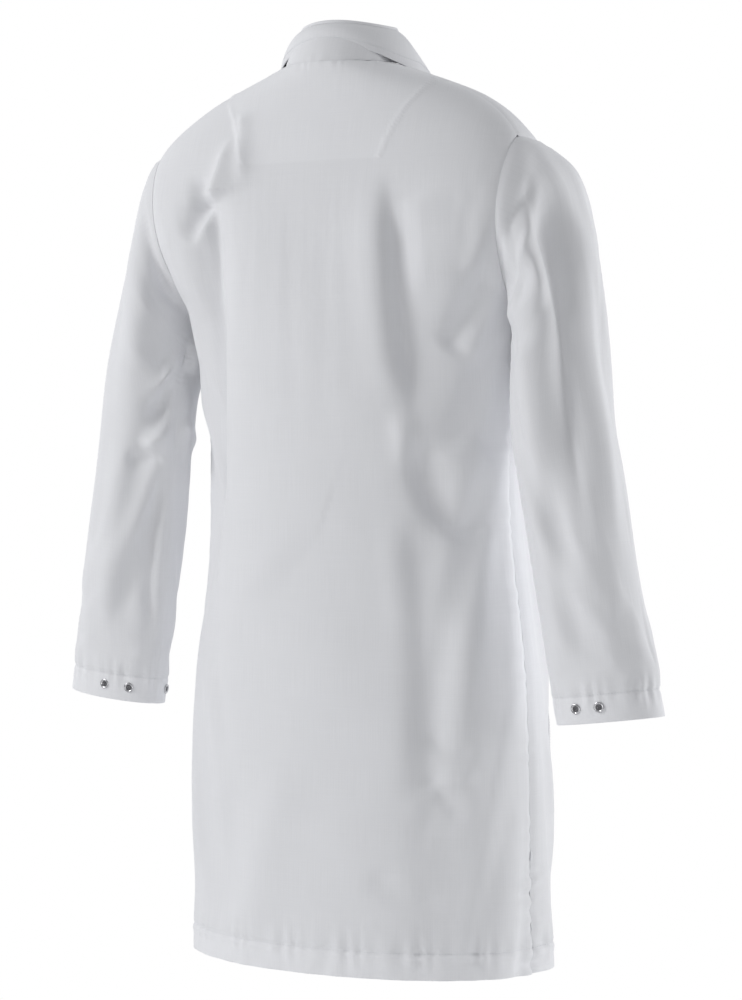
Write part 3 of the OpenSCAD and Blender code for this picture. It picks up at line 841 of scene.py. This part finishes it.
# ---- materials ----
class Nodes:
    """A short way to write a material's nodes."""

    def __init__(self, name):
        self.material = bpy.data.materials.new(name)
        self.material.use_nodes = True
        self.tree = self.material.node_tree
        self.shader = self.tree.nodes["Principled BSDF"]

    def add(self, kind, **settings):
        node = self.tree.nodes.new("ShaderNode" + kind)
        for key, value in settings.items():
            setattr(node, key, value)
        return node

    def link(self, source, target):
        self.tree.links.new(source, target)

    def put(self, key, value):
        """Sets one of the shader's inputs to a number or to another node's result."""
        if isinstance(value, (int, float)):
            self.shader.inputs[key].default_value = value
        else:
            self.link(value, self.shader.inputs[key])

    def maths(self, operation, a, b=None):
        node = self.add("Math", operation=operation)
        for socket, value in zip(node.inputs, (a, b)):
            if value is None:
                continue
            if isinstance(value, (int, float)):
                socket.default_value = value
            else:
                self.link(value, socket)
        return node.outputs[0]

    def place(self):
        return self.add("Attribute", attribute_name="cloth").outputs["Vector"]

    def stretch(self, vector, x, y, z=1.0):
        node = self.add("VectorMath", operation="MULTIPLY")
        self.link(vector, node.inputs[0])
        node.inputs[1].default_value = (x, y, z)
        return node.outputs[0]

    def noise(self, vector, scale, detail=2.0):
        node = self.add("TexNoise")
        self.link(vector, node.inputs["Vector"])
        node.inputs["Scale"].default_value = scale
        node.inputs["Detail"].default_value = detail
        return node.outputs["Fac"]

    def span(self, value, low, high, new_low, new_high):
        node = self.add("MapRange")
        self.link(value, node.inputs["Value"])
        for key, number in zip(("From Min", "From Max", "To Min", "To Max"), (low, high, new_low, new_high)):
            node.inputs[key].default_value = number
        return node.outputs[0]

    def bump(self, height, strength, distance, before=None):
        node = self.add("Bump")
        node.inputs["Strength"].default_value = strength
        node.inputs["Distance"].default_value = distance
        self.link(height, node.inputs["Height"])
        if before is not None:
            self.link(before, node.inputs["Normal"])
        return node.outputs[0]

    def tint(self, color, value):
        """The colour made lighter or darker by a value around 1."""
        node = self.add("VectorMath", operation="SCALE")
        node.inputs[0].default_value = color
        self.link(value, node.inputs["Scale"])
        return node.outputs[0]


THREAD_PITCH = 0.00042     # distance between the cloth's threads, in metres


def woven(name, color, pitch=THREAD_PITCH, rough=0.86, sheen=0.18, painted_show_through=0.0):
    """A plain weave: threads cross over and under, some are thicker, and the cloth is a little uneven."""
    n = Nodes(name)
    place = n.place()
    parts = n.add("SeparateXYZ")
    n.link(place, parts.inputs[0])
    turn = math.pi / pitch
    across = n.maths("SINE", n.maths("MULTIPLY", parts.outputs[0], turn))
    down = n.maths("SINE", n.maths("MULTIPLY", parts.outputs[1], turn))
    weave = n.maths("MULTIPLY", across, down)
    warp = n.noise(n.stretch(place, 1.0, 0.012), 1500, 1.0)
    weft = n.noise(n.stretch(place, 0.012, 1.0), 1300, 1.0)
    cloudy = n.noise(place, 9, 3.0)
    light = n.maths("ADD", n.span(warp, 0.25, 0.75, -0.020, 0.020), n.span(weft, 0.25, 0.75, -0.010, 0.010))
    light = n.maths("ADD", light, n.span(cloudy, 0.3, 0.7, -0.012, 0.012))
    light = n.maths("ADD", light, n.maths("MULTIPLY", weave, 0.02))
    light = n.maths("ADD", light, 1.0)
    # Painted show-through light: where the under mark says another layer lies behind the thin cloth, the
    # colour is made lighter, in place of the light that the second layer sends back through it
    if painted_show_through:
        under = n.add("Attribute", attribute_name="under").outputs["Fac"]
        light = n.maths("ADD", light, n.maths("MULTIPLY", under, painted_show_through))
    n.put("Base Color", n.tint(color, light))
    height = n.maths("ADD", n.maths("MULTIPLY", weave, 0.5), n.maths("MULTIPLY", warp, 0.9))
    crumple = n.noise(place, 55, 3.0)
    normal = n.bump(crumple, 0.12, 0.0012)
    n.put("Normal", n.bump(height, 0.35, 0.00012, normal))
    n.put("Roughness", n.span(cloudy, 0.3, 0.7, rough - 0.05, rough + 0.05))
    n.put("Sheen Weight", sheen)
    n.put("Sheen Roughness", 0.45)
    n.put("Specular IOR Level", 0.25)
    return n.material


def sewing_thread():
    n = Nodes("sewing_thread")
    place = n.place()
    twist = n.add("TexWave")
    n.link(place, twist.inputs["Vector"])
    twist.inputs["Scale"].default_value = 700
    twist.inputs["Distortion"].default_value = 1.5
    n.put("Base Color", n.tint((0.80, 0.81, 0.84), n.span(twist.outputs["Fac"], 0, 1, 0.92, 1.04)))
    n.put("Normal", n.bump(twist.outputs["Fac"], 0.5, 0.0001))
    n.put("Roughness", n.span(twist.outputs["Fac"], 0, 1, 0.5, 0.65))
    n.put("Sheen Weight", 0.2)
    return n.material


def metal(name, color, rough, worn):
    """Nickel-plated steel with fine scratches and duller, handled patches."""
    n = Nodes(name)
    place = n.add("TexCoord").outputs["Object"]
    patches = n.noise(place, 420, 4.0)
    scratches = n.noise(n.stretch(place, 1.0, 1.0, 0.08), 2600, 2.0)
    n.put("Base Color", n.tint(color, n.span(patches, 0.3, 0.7, 1 - worn, 1 + worn * 0.5)))
    n.put("Roughness", n.span(scratches, 0.3, 0.7, rough - 0.08, rough + 0.12))
    n.put("Normal", n.bump(scratches, 0.25, 0.00006))
    n.put("Metallic", 1.0)
    return n.material


def floor_material():
    n = Nodes("pale_floor")
    place = n.add("TexCoord").outputs["Object"]
    grain = n.noise(place, 30, 4.0)
    n.put("Base Color", n.tint((0.80, 0.80, 0.80), n.span(grain, 0.3, 0.7, 0.98, 1.02)))
    n.put("Roughness", n.span(grain, 0.3, 0.7, 0.6, 0.75))
    return n.material


# the coat's cloth is painted up to 5% lighter where another layer lies behind it: painted show-through light
COAT = woven("coat_cloth", (0.800, 0.805, 0.828), painted_show_through=0.05)
LINING = woven("inner_cloth", (0.79, 0.80, 0.83), rough=0.9)
TAPE = woven("cotton_tape", (0.82, 0.82, 0.84), pitch=0.0007, rough=0.8, sheen=0.1)
THREADS = sewing_thread()
STEEL = metal("stud_steel", (0.66, 0.66, 0.68), 0.26, 0.18)
DARK_STEEL = metal("stud_centre", (0.16, 0.16, 0.17), 0.42, 0.4)


# ---- pieces: the back ----
SIDES = (1, -1)        # the wearer's left and right


def side_name(side):
    return "left" if side > 0 else "right"


def mirrored(g, side):
    return g * np.array([side, 1, 1])


def with_hem(u, under, pad):
    """The marks of a piece carried on over the rows that its turned hem adds."""
    return np.concatenate([u, np.repeat(u[-1:], pad, 0)]), np.concatenate([under, np.ones((pad, u.shape[1]))])


def up_or_down(g, n):
    """The sign that turns a grid's own normals to the side on which the normals n point."""
    return 1 if np.sum(grid_normals(g) * n) > 0 else -1


back, back_u, back_under = back_cloth()
hem_row = int(np.argmin(np.abs(body_heights() + COAT_LENGTH - HEM_BAND)))
back_full = turn_hem(back, 1, HEM_BAND)
back_n = grid_normals(back_full)
back_u, back_under = with_hem(back_u, back_under, len(back_full) - len(back))
piece = shell("coat_back", back_full, back_n, COAT, 1, u=back_u, under=back_under)
declare(back_full, ["back_panel", "back_hem_band"])
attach(piece, "root")
hem_lines = [(back[hem_row], back_n[hem_row])]


def inside_back():
    """The neck facing and the blank label, sewn inside below the collar."""
    heights = np.arange(-4, -FACING_DROP, -4)
    rows = []
    for z in heights:
        side = facing_half(z) - 2
        a = float(angle_of(side, z)) if side < through(BODY_ROWS, z)[1] else 12.0
        rows.append(skin(np.linspace(a, 180 - a, 200), z))
    g = even_rows(rows, 60)
    n = grid_normals(g)
    g = g - n * (2.2 + 0.5 * waves(g[..., 0], g[..., 2], 8, 60, 1)[..., None])
    facing = shell("neck_facing", g, n, LINING)
    declare(g, ["back_neck_facing"])
    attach(facing, "root")
    label_low, label_high = node_box("neck_label")
    half = label_high[0]
    rows = []
    for z in np.linspace(label_high[2], label_low[2], 10):
        a = float(angle_of(half, z))
        rows.append(skin(np.linspace(a, 180 - a, 60), z))
    g = even_rows(rows, 24)
    n = grid_normals(g)
    g = g - n * 4.2
    label = shell("neck_label_blank", g, n, TAPE, thickness=0.4)
    declare(g, ["neck_label"])
    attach(label, "root")


inside_back()


# ---- pieces: the fronts ----
UNDERLAP = 9           # columns by which the V's cloth reaches under the shoulder's
UNDER_DEPTH = 1.6      # how far below it the V's cloth lies there
FACING_COLUMN = 14     # columns from the fold line to the facing's inner edge
FACING_INSET = 1.2     # the facing lies this far behind the front


def front_pieces(side):
    name = side_name(side)
    body = name + "_front"
    g, u, under, fold_column = front_cloth(side)
    break_row = int(np.argmin(np.abs(body_heights() + V_DROP)))
    full = turn_hem(g, -1, HEM_BAND)
    pad = len(full) - len(g)
    u, under = with_hem(u, under, pad)
    n = -grid_normals(full)
    v = down_cloth(full, 5)
    full, n, sign = mirrored(full, side), mirrored(n, side), -side

    def part(label, rows, columns):
        return shell(label, full[rows, columns], n[rows, columns], COAT, sign, u=u[rows, columns],
                     under=under[rows, columns], v=v[rows, columns])

    low = part(name + "_front_panel", slice(break_row, None), slice(None))
    nodes = [name + "_side_front", name + "_front_flap", name + "_front_hem_band"]
    declare(full[break_row:], nodes)
    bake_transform(low)
    top = part(name + "_front_shoulder", slice(0, break_row + 1), slice(0, fold_column + 1))
    declare(full[:break_row + 1, :fold_column + 1], [])
    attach(top, "root")
    rows, columns = slice(0, break_row + 1), slice(fold_column - UNDERLAP, None)
    below = UNDER_DEPTH * np.clip((UNDERLAP - np.arange(full.shape[1] - fold_column + UNDERLAP)) / 2, 0, 1)
    v_g = full[rows, columns] - n[rows, columns] * below[None, :, None]
    inset = shell(name + "_front_v", v_g, n[rows, columns], COAT, sign, u=u[rows, columns],
                  under=under[rows, columns], v=v[rows, columns])
    declare(v_g, [])
    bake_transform(inset)

    facing_n = n[break_row:-pad - 3, fold_column + FACING_COLUMN:]
    facing_g = full[break_row:-pad - 3, fold_column + FACING_COLUMN:] + facing_n * -FACING_INSET
    facing = shell(name + "_facing", facing_g, facing_n, LINING, sign)
    declare(facing_g, [name + "_front_facing"])
    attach(facing, body)

    edge_column, facing_column = full.shape[1] - 3, fold_column + FACING_COLUMN + 1
    down = slice(break_row + 2, len(g) - 1)
    lines = [(full[hem_row], n[hem_row]), (full[down, edge_column], n[down, edge_column]),
             (full[down, facing_column], n[down, facing_column])]
    sewn = stitches(name + "_front_stitches", lines, THREADS)
    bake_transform(sewn)
    return full, n


fronts = {side: front_pieces(side) for side in SIDES}


def on_front(side, x, z, out):
    """Points on a front's cloth at given distances from the middle and heights, moved off it by out."""
    full, n = fronts[side]
    heights = body_heights()
    rows = len(heights)
    x, z = np.broadcast_arrays(np.asarray(x, float), np.asarray(z, float))
    out = np.broadcast_to(np.asarray(out, float), x.shape)
    points = np.empty(x.shape + (3,))
    normals = np.empty(x.shape + (3,))
    for k in np.ndindex(x.shape):
        i = float(np.interp(-z[k], -heights, np.arange(rows)))
        i0 = min(int(i), rows - 2)
        row = mix(full[i0], full[i0 + 1], i - i0)
        row_n = mix(n[i0], n[i0 + 1], i - i0)
        order = np.argsort(row[:, 0] * side)
        along = (row[:, 0] * side)[order]
        points[k] = [np.interp(x[k], along, row[order, c]) for c in range(3)]
        normals[k] = [np.interp(x[k], along, row_n[order, c]) for c in range(3)]
    normals = unit(normals)
    return points + normals * out[..., None], normals


def pocket(name, node, side, radius=16):
    """A patch pocket with rounded lower corners and a stitched top hem."""
    low, high = node_box(node)
    x0, x1 = (low[0], high[0]) if side > 0 else (-high[0], -low[0])
    z0, z1 = low[2], high[2]
    s = np.concatenate([[0, 0.012], np.linspace(0.04, 0.96, 25), [0.988, 1]])
    drop = np.concatenate([[0, 0.01], np.linspace(0.04, 0.9, 30), np.linspace(0.91, 1, 10)])
    z = mix(z1, z0, drop)
    inset = radius - np.sqrt(np.maximum(radius**2 - np.maximum(radius - (z - z0), 0) ** 2, 0))
    x = mix((x0 + inset)[:, None], (x1 - inset)[:, None], s[None])
    border = np.minimum(s, 1 - s)[None] * (x1 - x0)
    border = np.minimum(border, (z - z0)[:, None])
    belly = 2.4 * ramp(border / 30) * ramp((z1 - z)[:, None] / 50 + 0.45)
    g, n = on_front(side, x, z[:, None] * np.ones_like(x), 0.5 + 0.6 * ramp(border / 2) + belly)
    grid_sign = up_or_down(g, n)
    normals = grid_normals(g) * grid_sign
    piece = shell(name, g, normals, COAT, grid_sign, thickness=0.6)
    declare(g, [node])
    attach(piece, "root")
    hem = int(np.argmin(np.abs(z - (z1 - 22))))
    lines = [(g[hem, 2:-2], normals[hem, 2:-2])]
    lines += [(g[1:, 2], normals[1:, 2]), (g[1:, -3], normals[1:, -3]), (g[-3, 2:-2], normals[-3, 2:-2])]
    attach(stitches(name + "_stitches", lines, THREADS), "root")


pocket("chest_patch_pocket", "chest_pocket", 1, 12)
pocket("left_patch_pocket", "left_hip_pocket", 1)
pocket("right_patch_pocket", "right_hip_pocket", -1)


def lapel(side):
    """The front's upper edge turned outwards along the V, with a rolled fold and a notch above."""
    name = side_name(side)
    low, high = -V_DROP - 2, -86.0
    z = np.linspace(high, low, 46)
    rise = (z - low) / (high - low)
    width = 3 + 60 * ramp(rise * 1.05) ** 0.8
    notch = 9 * ramp((rise - 0.8) / 0.2)
    s = np.concatenate([np.linspace(0, 0.08, 4)[:-1], np.linspace(0.08, 1, 22)])
    inner = front_edge_x(z)
    x = inner[:, None] + width[:, None] * s[None]
    zz = z[:, None] - notch[:, None] * s[None] * 0.8
    out = 0.3 + 3.6 * ramp(s / 0.07) - 1.6 * ramp((s - 0.2) / 0.8)
    g, n = on_front(side, x, zz, out[None] + 0.8 * waves(x, zz, 61 + side, 90, 1))
    grid_sign = up_or_down(g, n)
    normals = grid_normals(g) * grid_sign
    piece = shell(name + "_lapel_cloth", g, normals, COAT, grid_sign, thickness=1.2)
    declare(g, [name + "_lapel"])
    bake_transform(piece)
    lines = [(g[1:, -5], normals[1:, -5]), (g[2, 3:-3], normals[2, 3:-3])]
    sewn = stitches(name + "_lapel_stitches", lines, THREADS)
    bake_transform(sewn)


for side in SIDES:
    lapel(side)


# ---- pieces: the collar ----
def collar_line(s, ring, corner, end):
    """A line round the neck: s is -1 at the right front end, 0 at the nape and 1 at the left front end."""
    u = np.abs(s)
    side = np.where(s < 0, -1.0, 1.0)
    a = np.pi * np.minimum(u, 0.5)
    half_width, half_depth, middle, back_z, side_z = ring
    round_part = np.stack([half_width * np.sin(a), middle + half_depth * np.cos(a),
                           mix(back_z, side_z, np.sin(a) ** 2)], -1)
    t = np.clip(2 * u - 1, 0, 1)[..., None]
    start = np.array([half_width, middle, side_z])
    front_part = start * (1 - t) ** 2 + np.array(corner) * 2 * t * (1 - t) + np.array(end) * t * t
    p = np.where((u <= 0.5)[..., None], round_part, front_part)
    return p * np.stack([side, 0 * side + 1, 0 * side + 1], -1)


# Half width, half depth, middle's y, height at the nape and the sides, then the corner and end in front
SEAM_LINE = ((NECK_HALF - 1, NECK_DEPTH - 1, 0, 0.6, 0.6), (57, -88, -38), (46, -80, -82))
FOLD_LINE = ((57, 52, -13, COLLAR_RISE, COLLAR_RISE - 6), (60, -64, -6), (49, -90, -78))
LEAF_EDGE = ((90, 67, -18, COLLAR_RISE - 25, -9), (101, -70, -20), (90, -98, -90))


COLLAR_COLUMNS = 181
STAND_HEIGHT = 45
ROLL = 2.2             # radius of the roll between stand and leaf


def collar():
    s = np.linspace(1, -1, COLLAR_COLUMNS)
    seam, top, edge = (collar_line(s, *line) for line in (SEAM_LINE, FOLD_LINE, LEAF_EDGE))
    down = np.linspace(0, 1, 20)[:, None, None]
    stand_g = top[None] * (1 - down) + seam[None] * down
    n = grid_normals(stand_g)
    rise = (1 - down[..., 0]) * STAND_HEIGHT
    along = np.arange(COLLAR_COLUMNS)[None] * 1.9
    h = 1.6 * np.sin(np.pi * down[..., 0]) + seam_dip(rise, 0.8, 3) + puckers(along, rise, 23, 13, 9, 0.35)
    stand_g = stand_g + n * h[..., None]
    n = grid_normals(stand_g)
    stand = shell("collar_stand_cloth", stand_g, n, COAT, 1, thickness=1.4)
    declare(stand_g, ["collar_stand"])
    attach(stand, "root")

    away = unit(edge - top)
    side_out = unit(np.cross(np.gradient(top, axis=0), away))
    side_out = side_out * np.sign(side_out[..., 2:3] + 1e-9)
    rows = []
    for a in np.radians([-60, -25, 10, 45, 75]):
        rows.append(top + side_out * ROLL * np.cos(a) + away * ROLL * (1 + np.sin(a)) - away * 1.5)
    start = rows[-1]
    for v in np.linspace(0.06, 1, 24):
        belly = 7.0 * math.sin(math.pi * v) ** 0.8 * (1 - 0.35 * v)
        rows.append(start * (1 - v) + edge * v + side_out * belly)
    leaf_g = np.array(rows)
    n = grid_normals(leaf_g)
    outward = 1 if np.mean(n[10:, 60:120, 1]) > 0 else -1
    drop = down_cloth(leaf_g, 90)
    along = across_cloth(leaf_g, 90)
    off = drop[-1] - drop - 6
    h = 0.35 * waves(along, drop, 71, 90, 1) + seam_dip(off, 0.35, 1.3)
    leaf_g = leaf_g + n * outward * h[..., None]
    n = grid_normals(leaf_g) * outward
    leaf = shell("collar_leaf_cloth", leaf_g, n, COAT, outward, thickness=1.5)
    declare(leaf_g, ["collar_leaf"])
    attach(leaf, "root")
    row = len(leaf_g) - 1 - int(np.argmin(np.abs(off[::-1, 90])))
    sewn = stitches("collar_stitches", [(leaf_g[row], n[row])], THREADS)
    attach(sewn, "root")


collar()


# ---- pieces: the sleeves ----
CUFF_STUD_TURNS = {1: (92, 124, 191), -1: (84, 110, 182)}
STUD_R = 6.0
# a stud's turned outlines as (radius, height) points, each with its material and the height of its ripples
STUD_FACE = [
    ([(3.4, -0.2), (STUD_R - 0.1, -0.2), (STUD_R, 0.5), (STUD_R - 0.35, 1.05), (STUD_R - 1.1, 1.3),
      (STUD_R - 1.8, 1.15), (3.5, 0.6), (3.3, 0.3)], 0, 0.0),
    ([(3.35, 0.0), (3.3, 0.45), (2.6, 0.75), (1.9, 0.35), (1.1, 0.55), (0.5, 0.5)], 1, 0.12),
]
STUD_BACK = [([(2.2, -0.3), (STUD_R - 0.5, -0.3), (STUD_R - 0.4, 0.1), (STUD_R - 1.0, 0.5), (2.7, 0.45),
               (2.2, 0.1)], 0, 0.0)]


def sleeve_pieces(side):
    name = side_name(side)
    g, u, under, split_row, rows = sleeve_cloth(side)
    full = turn_hem(g, 1, CUFF_BAND)
    n = grid_normals(full)
    seam_n = unit(n[:, 0] + n[:, -1])
    n[:, 0], n[:, -1] = seam_n, seam_n
    v = down_cloth(full, 60)
    u, under = with_hem(u, under, len(full) - len(g))
    full, n = mirrored(full, side), mirrored(n, side)
    upper, fore = name + "_upper_arm", name + "_forearm"

    def part(label, rows_kept):
        return shell(label, full[rows_kept], n[rows_kept], COAT, side, u=u[rows_kept], under=under[rows_kept],
                     v=v[rows_kept])

    top = part(name + "_sleeve_top", slice(0, split_row + 1))
    declare(full[:split_row + 1], [name + "_upper_sleeve"])
    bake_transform(top)
    low = part(name + "_sleeve_low", slice(split_row, None))
    declare(full[split_row:], [name + "_lower_sleeve", name + "_cuff_band"])
    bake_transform(low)

    cuff_row = int(np.argmin(np.abs(rows - CUFF_T)))
    sewn = stitches(name + "_cuff_stitches", [(full[cuff_row], n[cuff_row])], THREADS)
    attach(sewn, fore)

    stud_row = (cuff_row + len(g) - 1) // 2
    turns = np.linspace(SEAM_TURN - 360, SEAM_TURN, full.shape[1])
    places = []
    backs = []
    for turn in CUFF_STUD_TURNS[side]:
        wanted = turn if turn <= SEAM_TURN else turn - 360
        j = int(np.argmin(np.abs(turns - wanted)))
        places.append((full[stud_row, j], n[stud_row, j]))
        backs.append((full[stud_row, j] - n[stud_row, j] * 4.6, -n[stud_row, j]))
    studs = lathe(name + "_cuff_studs", STUD_FACE, places, [STEEL, DARK_STEEL])
    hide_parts(name + "_cuff_stud_rings")
    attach(studs, fore)
    inner = lathe(name + "_cuff_stud_inner", STUD_BACK, backs, [STEEL])
    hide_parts(name + "_cuff_stud_backs")
    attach(inner, fore)


for side in SIDES:
    sleeve_pieces(side)


# ---- pieces: front studs, bar tacks and the hanging loop ----
def recoat(node, material):
    """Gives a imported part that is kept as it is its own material."""
    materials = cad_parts[node].data.materials
    materials.clear()
    materials.append(material)


for node in ("front_stud_caps", "front_stud_sockets", "front_studs_lower", "front_stud_posts"):
    recoat(node, STEEL)
recoat("hanger_loop", TAPE)
for side in SIDES:
    recoat(side_name(side) + "_slit_bar_tack", THREADS)

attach(stitches("back_hem_stitches", hem_lines, THREADS), "root")


# ---- studio ----
CAMERA_AZIMUTH = 210
CAMERA_DISTANCE = 3.3
CAMERA_LENS = 102.6
CAMERA_RISE = 0.058
AIM_SHIFT = (0, 0, -0.007)
NEAR_LIGHT = 0.29      # strength of the sky behind the camera
FAR_LIGHT = 1.00       # strength of the sky beyond the coat
FLOOR_HEIGHT = -1.5
FLOOR_RADIUS = 1.55
# name, turn from the camera towards the picture's left, rise, distance, size and power
LIGHTS = [
    ("key", 75, 24, 3.0, 1.1, 36),
    ("low", 8, -14, 2.4, 1.2, 9),
    ("rim", -86, 8, 2.8, 1.2, 32),
]


def sky(scene, towards):
    """A white background, and an even light that is weaker on the camera's side."""
    world = bpy.data.worlds.new("studio")
    scene.world = world
    world.use_nodes = True
    tree = world.node_tree
    tree.nodes.clear()
    out = tree.nodes.new("ShaderNodeOutputWorld")
    shown = tree.nodes.new("ShaderNodeBackground")
    lighting = tree.nodes.new("ShaderNodeBackground")
    pick = tree.nodes.new("ShaderNodeMixShader")
    shown.inputs["Color"].default_value = (1, 1, 1, 1)
    shown.inputs["Strength"].default_value = 1.0
    lighting.inputs["Color"].default_value = (0.97, 0.98, 1, 1)
    direction = tree.nodes.new("ShaderNodeTexCoord").outputs["Generated"]
    facing = tree.nodes.new("ShaderNodeVectorMath")
    facing.operation = "DOT_PRODUCT"
    tree.links.new(direction, facing.inputs[0])
    facing.inputs[1].default_value = -towards
    strength = tree.nodes.new("ShaderNodeMapRange")
    tree.links.new(facing.outputs["Value"], strength.inputs["Value"])
    strength.inputs["From Min"].default_value = -0.3
    strength.inputs["From Max"].default_value = 0.8
    strength.inputs["To Min"].default_value = NEAR_LIGHT
    strength.inputs["To Max"].default_value = FAR_LIGHT
    tree.links.new(strength.outputs[0], lighting.inputs["Strength"])
    tree.links.new(tree.nodes.new("ShaderNodeLightPath").outputs["Is Camera Ray"], pick.inputs[0])
    tree.links.new(lighting.outputs[0], pick.inputs[1])
    tree.links.new(shown.outputs[0], pick.inputs[2])
    tree.links.new(pick.outputs[0], out.inputs["Surface"])


def floor():
    """A round floor of a few rings."""
    sides = 96
    radii = (0.02, 0.5, 1.0, FLOOR_RADIUS)
    ring = np.linspace(0, 2 * math.pi, sides, endpoint=False)
    points = np.array([[(r * math.cos(a), r * math.sin(a), FLOOR_HEIGHT) for a in ring] for r in radii])
    faces = []
    for i in range(len(radii) - 1):
        for j in range(sides):
            m = (j + 1) % sides
            faces.append(((i + 1) * sides + j, (i + 1) * sides + m, i * sides + m, i * sides + j))
    faces.append(tuple(range(sides)))
    link_mesh("floor", points.reshape(-1, 3) / MM, faces, floor_material(), {})


def studio():
    scene = bpy.context.scene
    low, high = (np.array(corner) for corner in cad_box)
    aim = Vector((0, (low[1] + high[1]) / 2, (low[2] + high[2]) / 2)) + Vector(AIM_SHIFT)
    azimuth = math.radians(CAMERA_AZIMUTH)
    towards = Vector((math.sin(azimuth), -math.cos(azimuth), 0))
    camera = bpy.data.objects.new("camera", bpy.data.cameras.new("camera"))
    scene.collection.objects.link(camera)
    camera.location = aim + towards * CAMERA_DISTANCE + Vector((0, 0, CAMERA_RISE))
    camera.rotation_euler = (aim - camera.location).to_track_quat("-Z", "Y").to_euler()
    camera.data.lens = CAMERA_LENS
    camera.data.sensor_width = 36
    scene.camera = camera

    left = Vector((-towards.y, towards.x, 0)) * -1
    sky(scene, towards)

    def area(name, turn, rise, distance, size, power):
        """An area light, turned round the object from the camera's side towards the picture's left."""
        light = bpy.data.lights.new(name, "AREA")
        light.shape = "DISK"
        light.size = size
        light.energy = power
        lamp = bpy.data.objects.new(name, light)
        scene.collection.objects.link(lamp)
        a, e = math.radians(turn), math.radians(rise)
        level = towards * math.cos(a) * math.cos(e) + left * math.sin(a) * math.cos(e)
        way = level + Vector((0, 0, math.sin(e)))
        lamp.location = aim + way * distance
        lamp.rotation_euler = (-way).to_track_quat("-Z", "Y").to_euler()

    for light in LIGHTS:
        area(*light)

    floor()
    scene.view_settings.view_transform = "Standard"


studio()
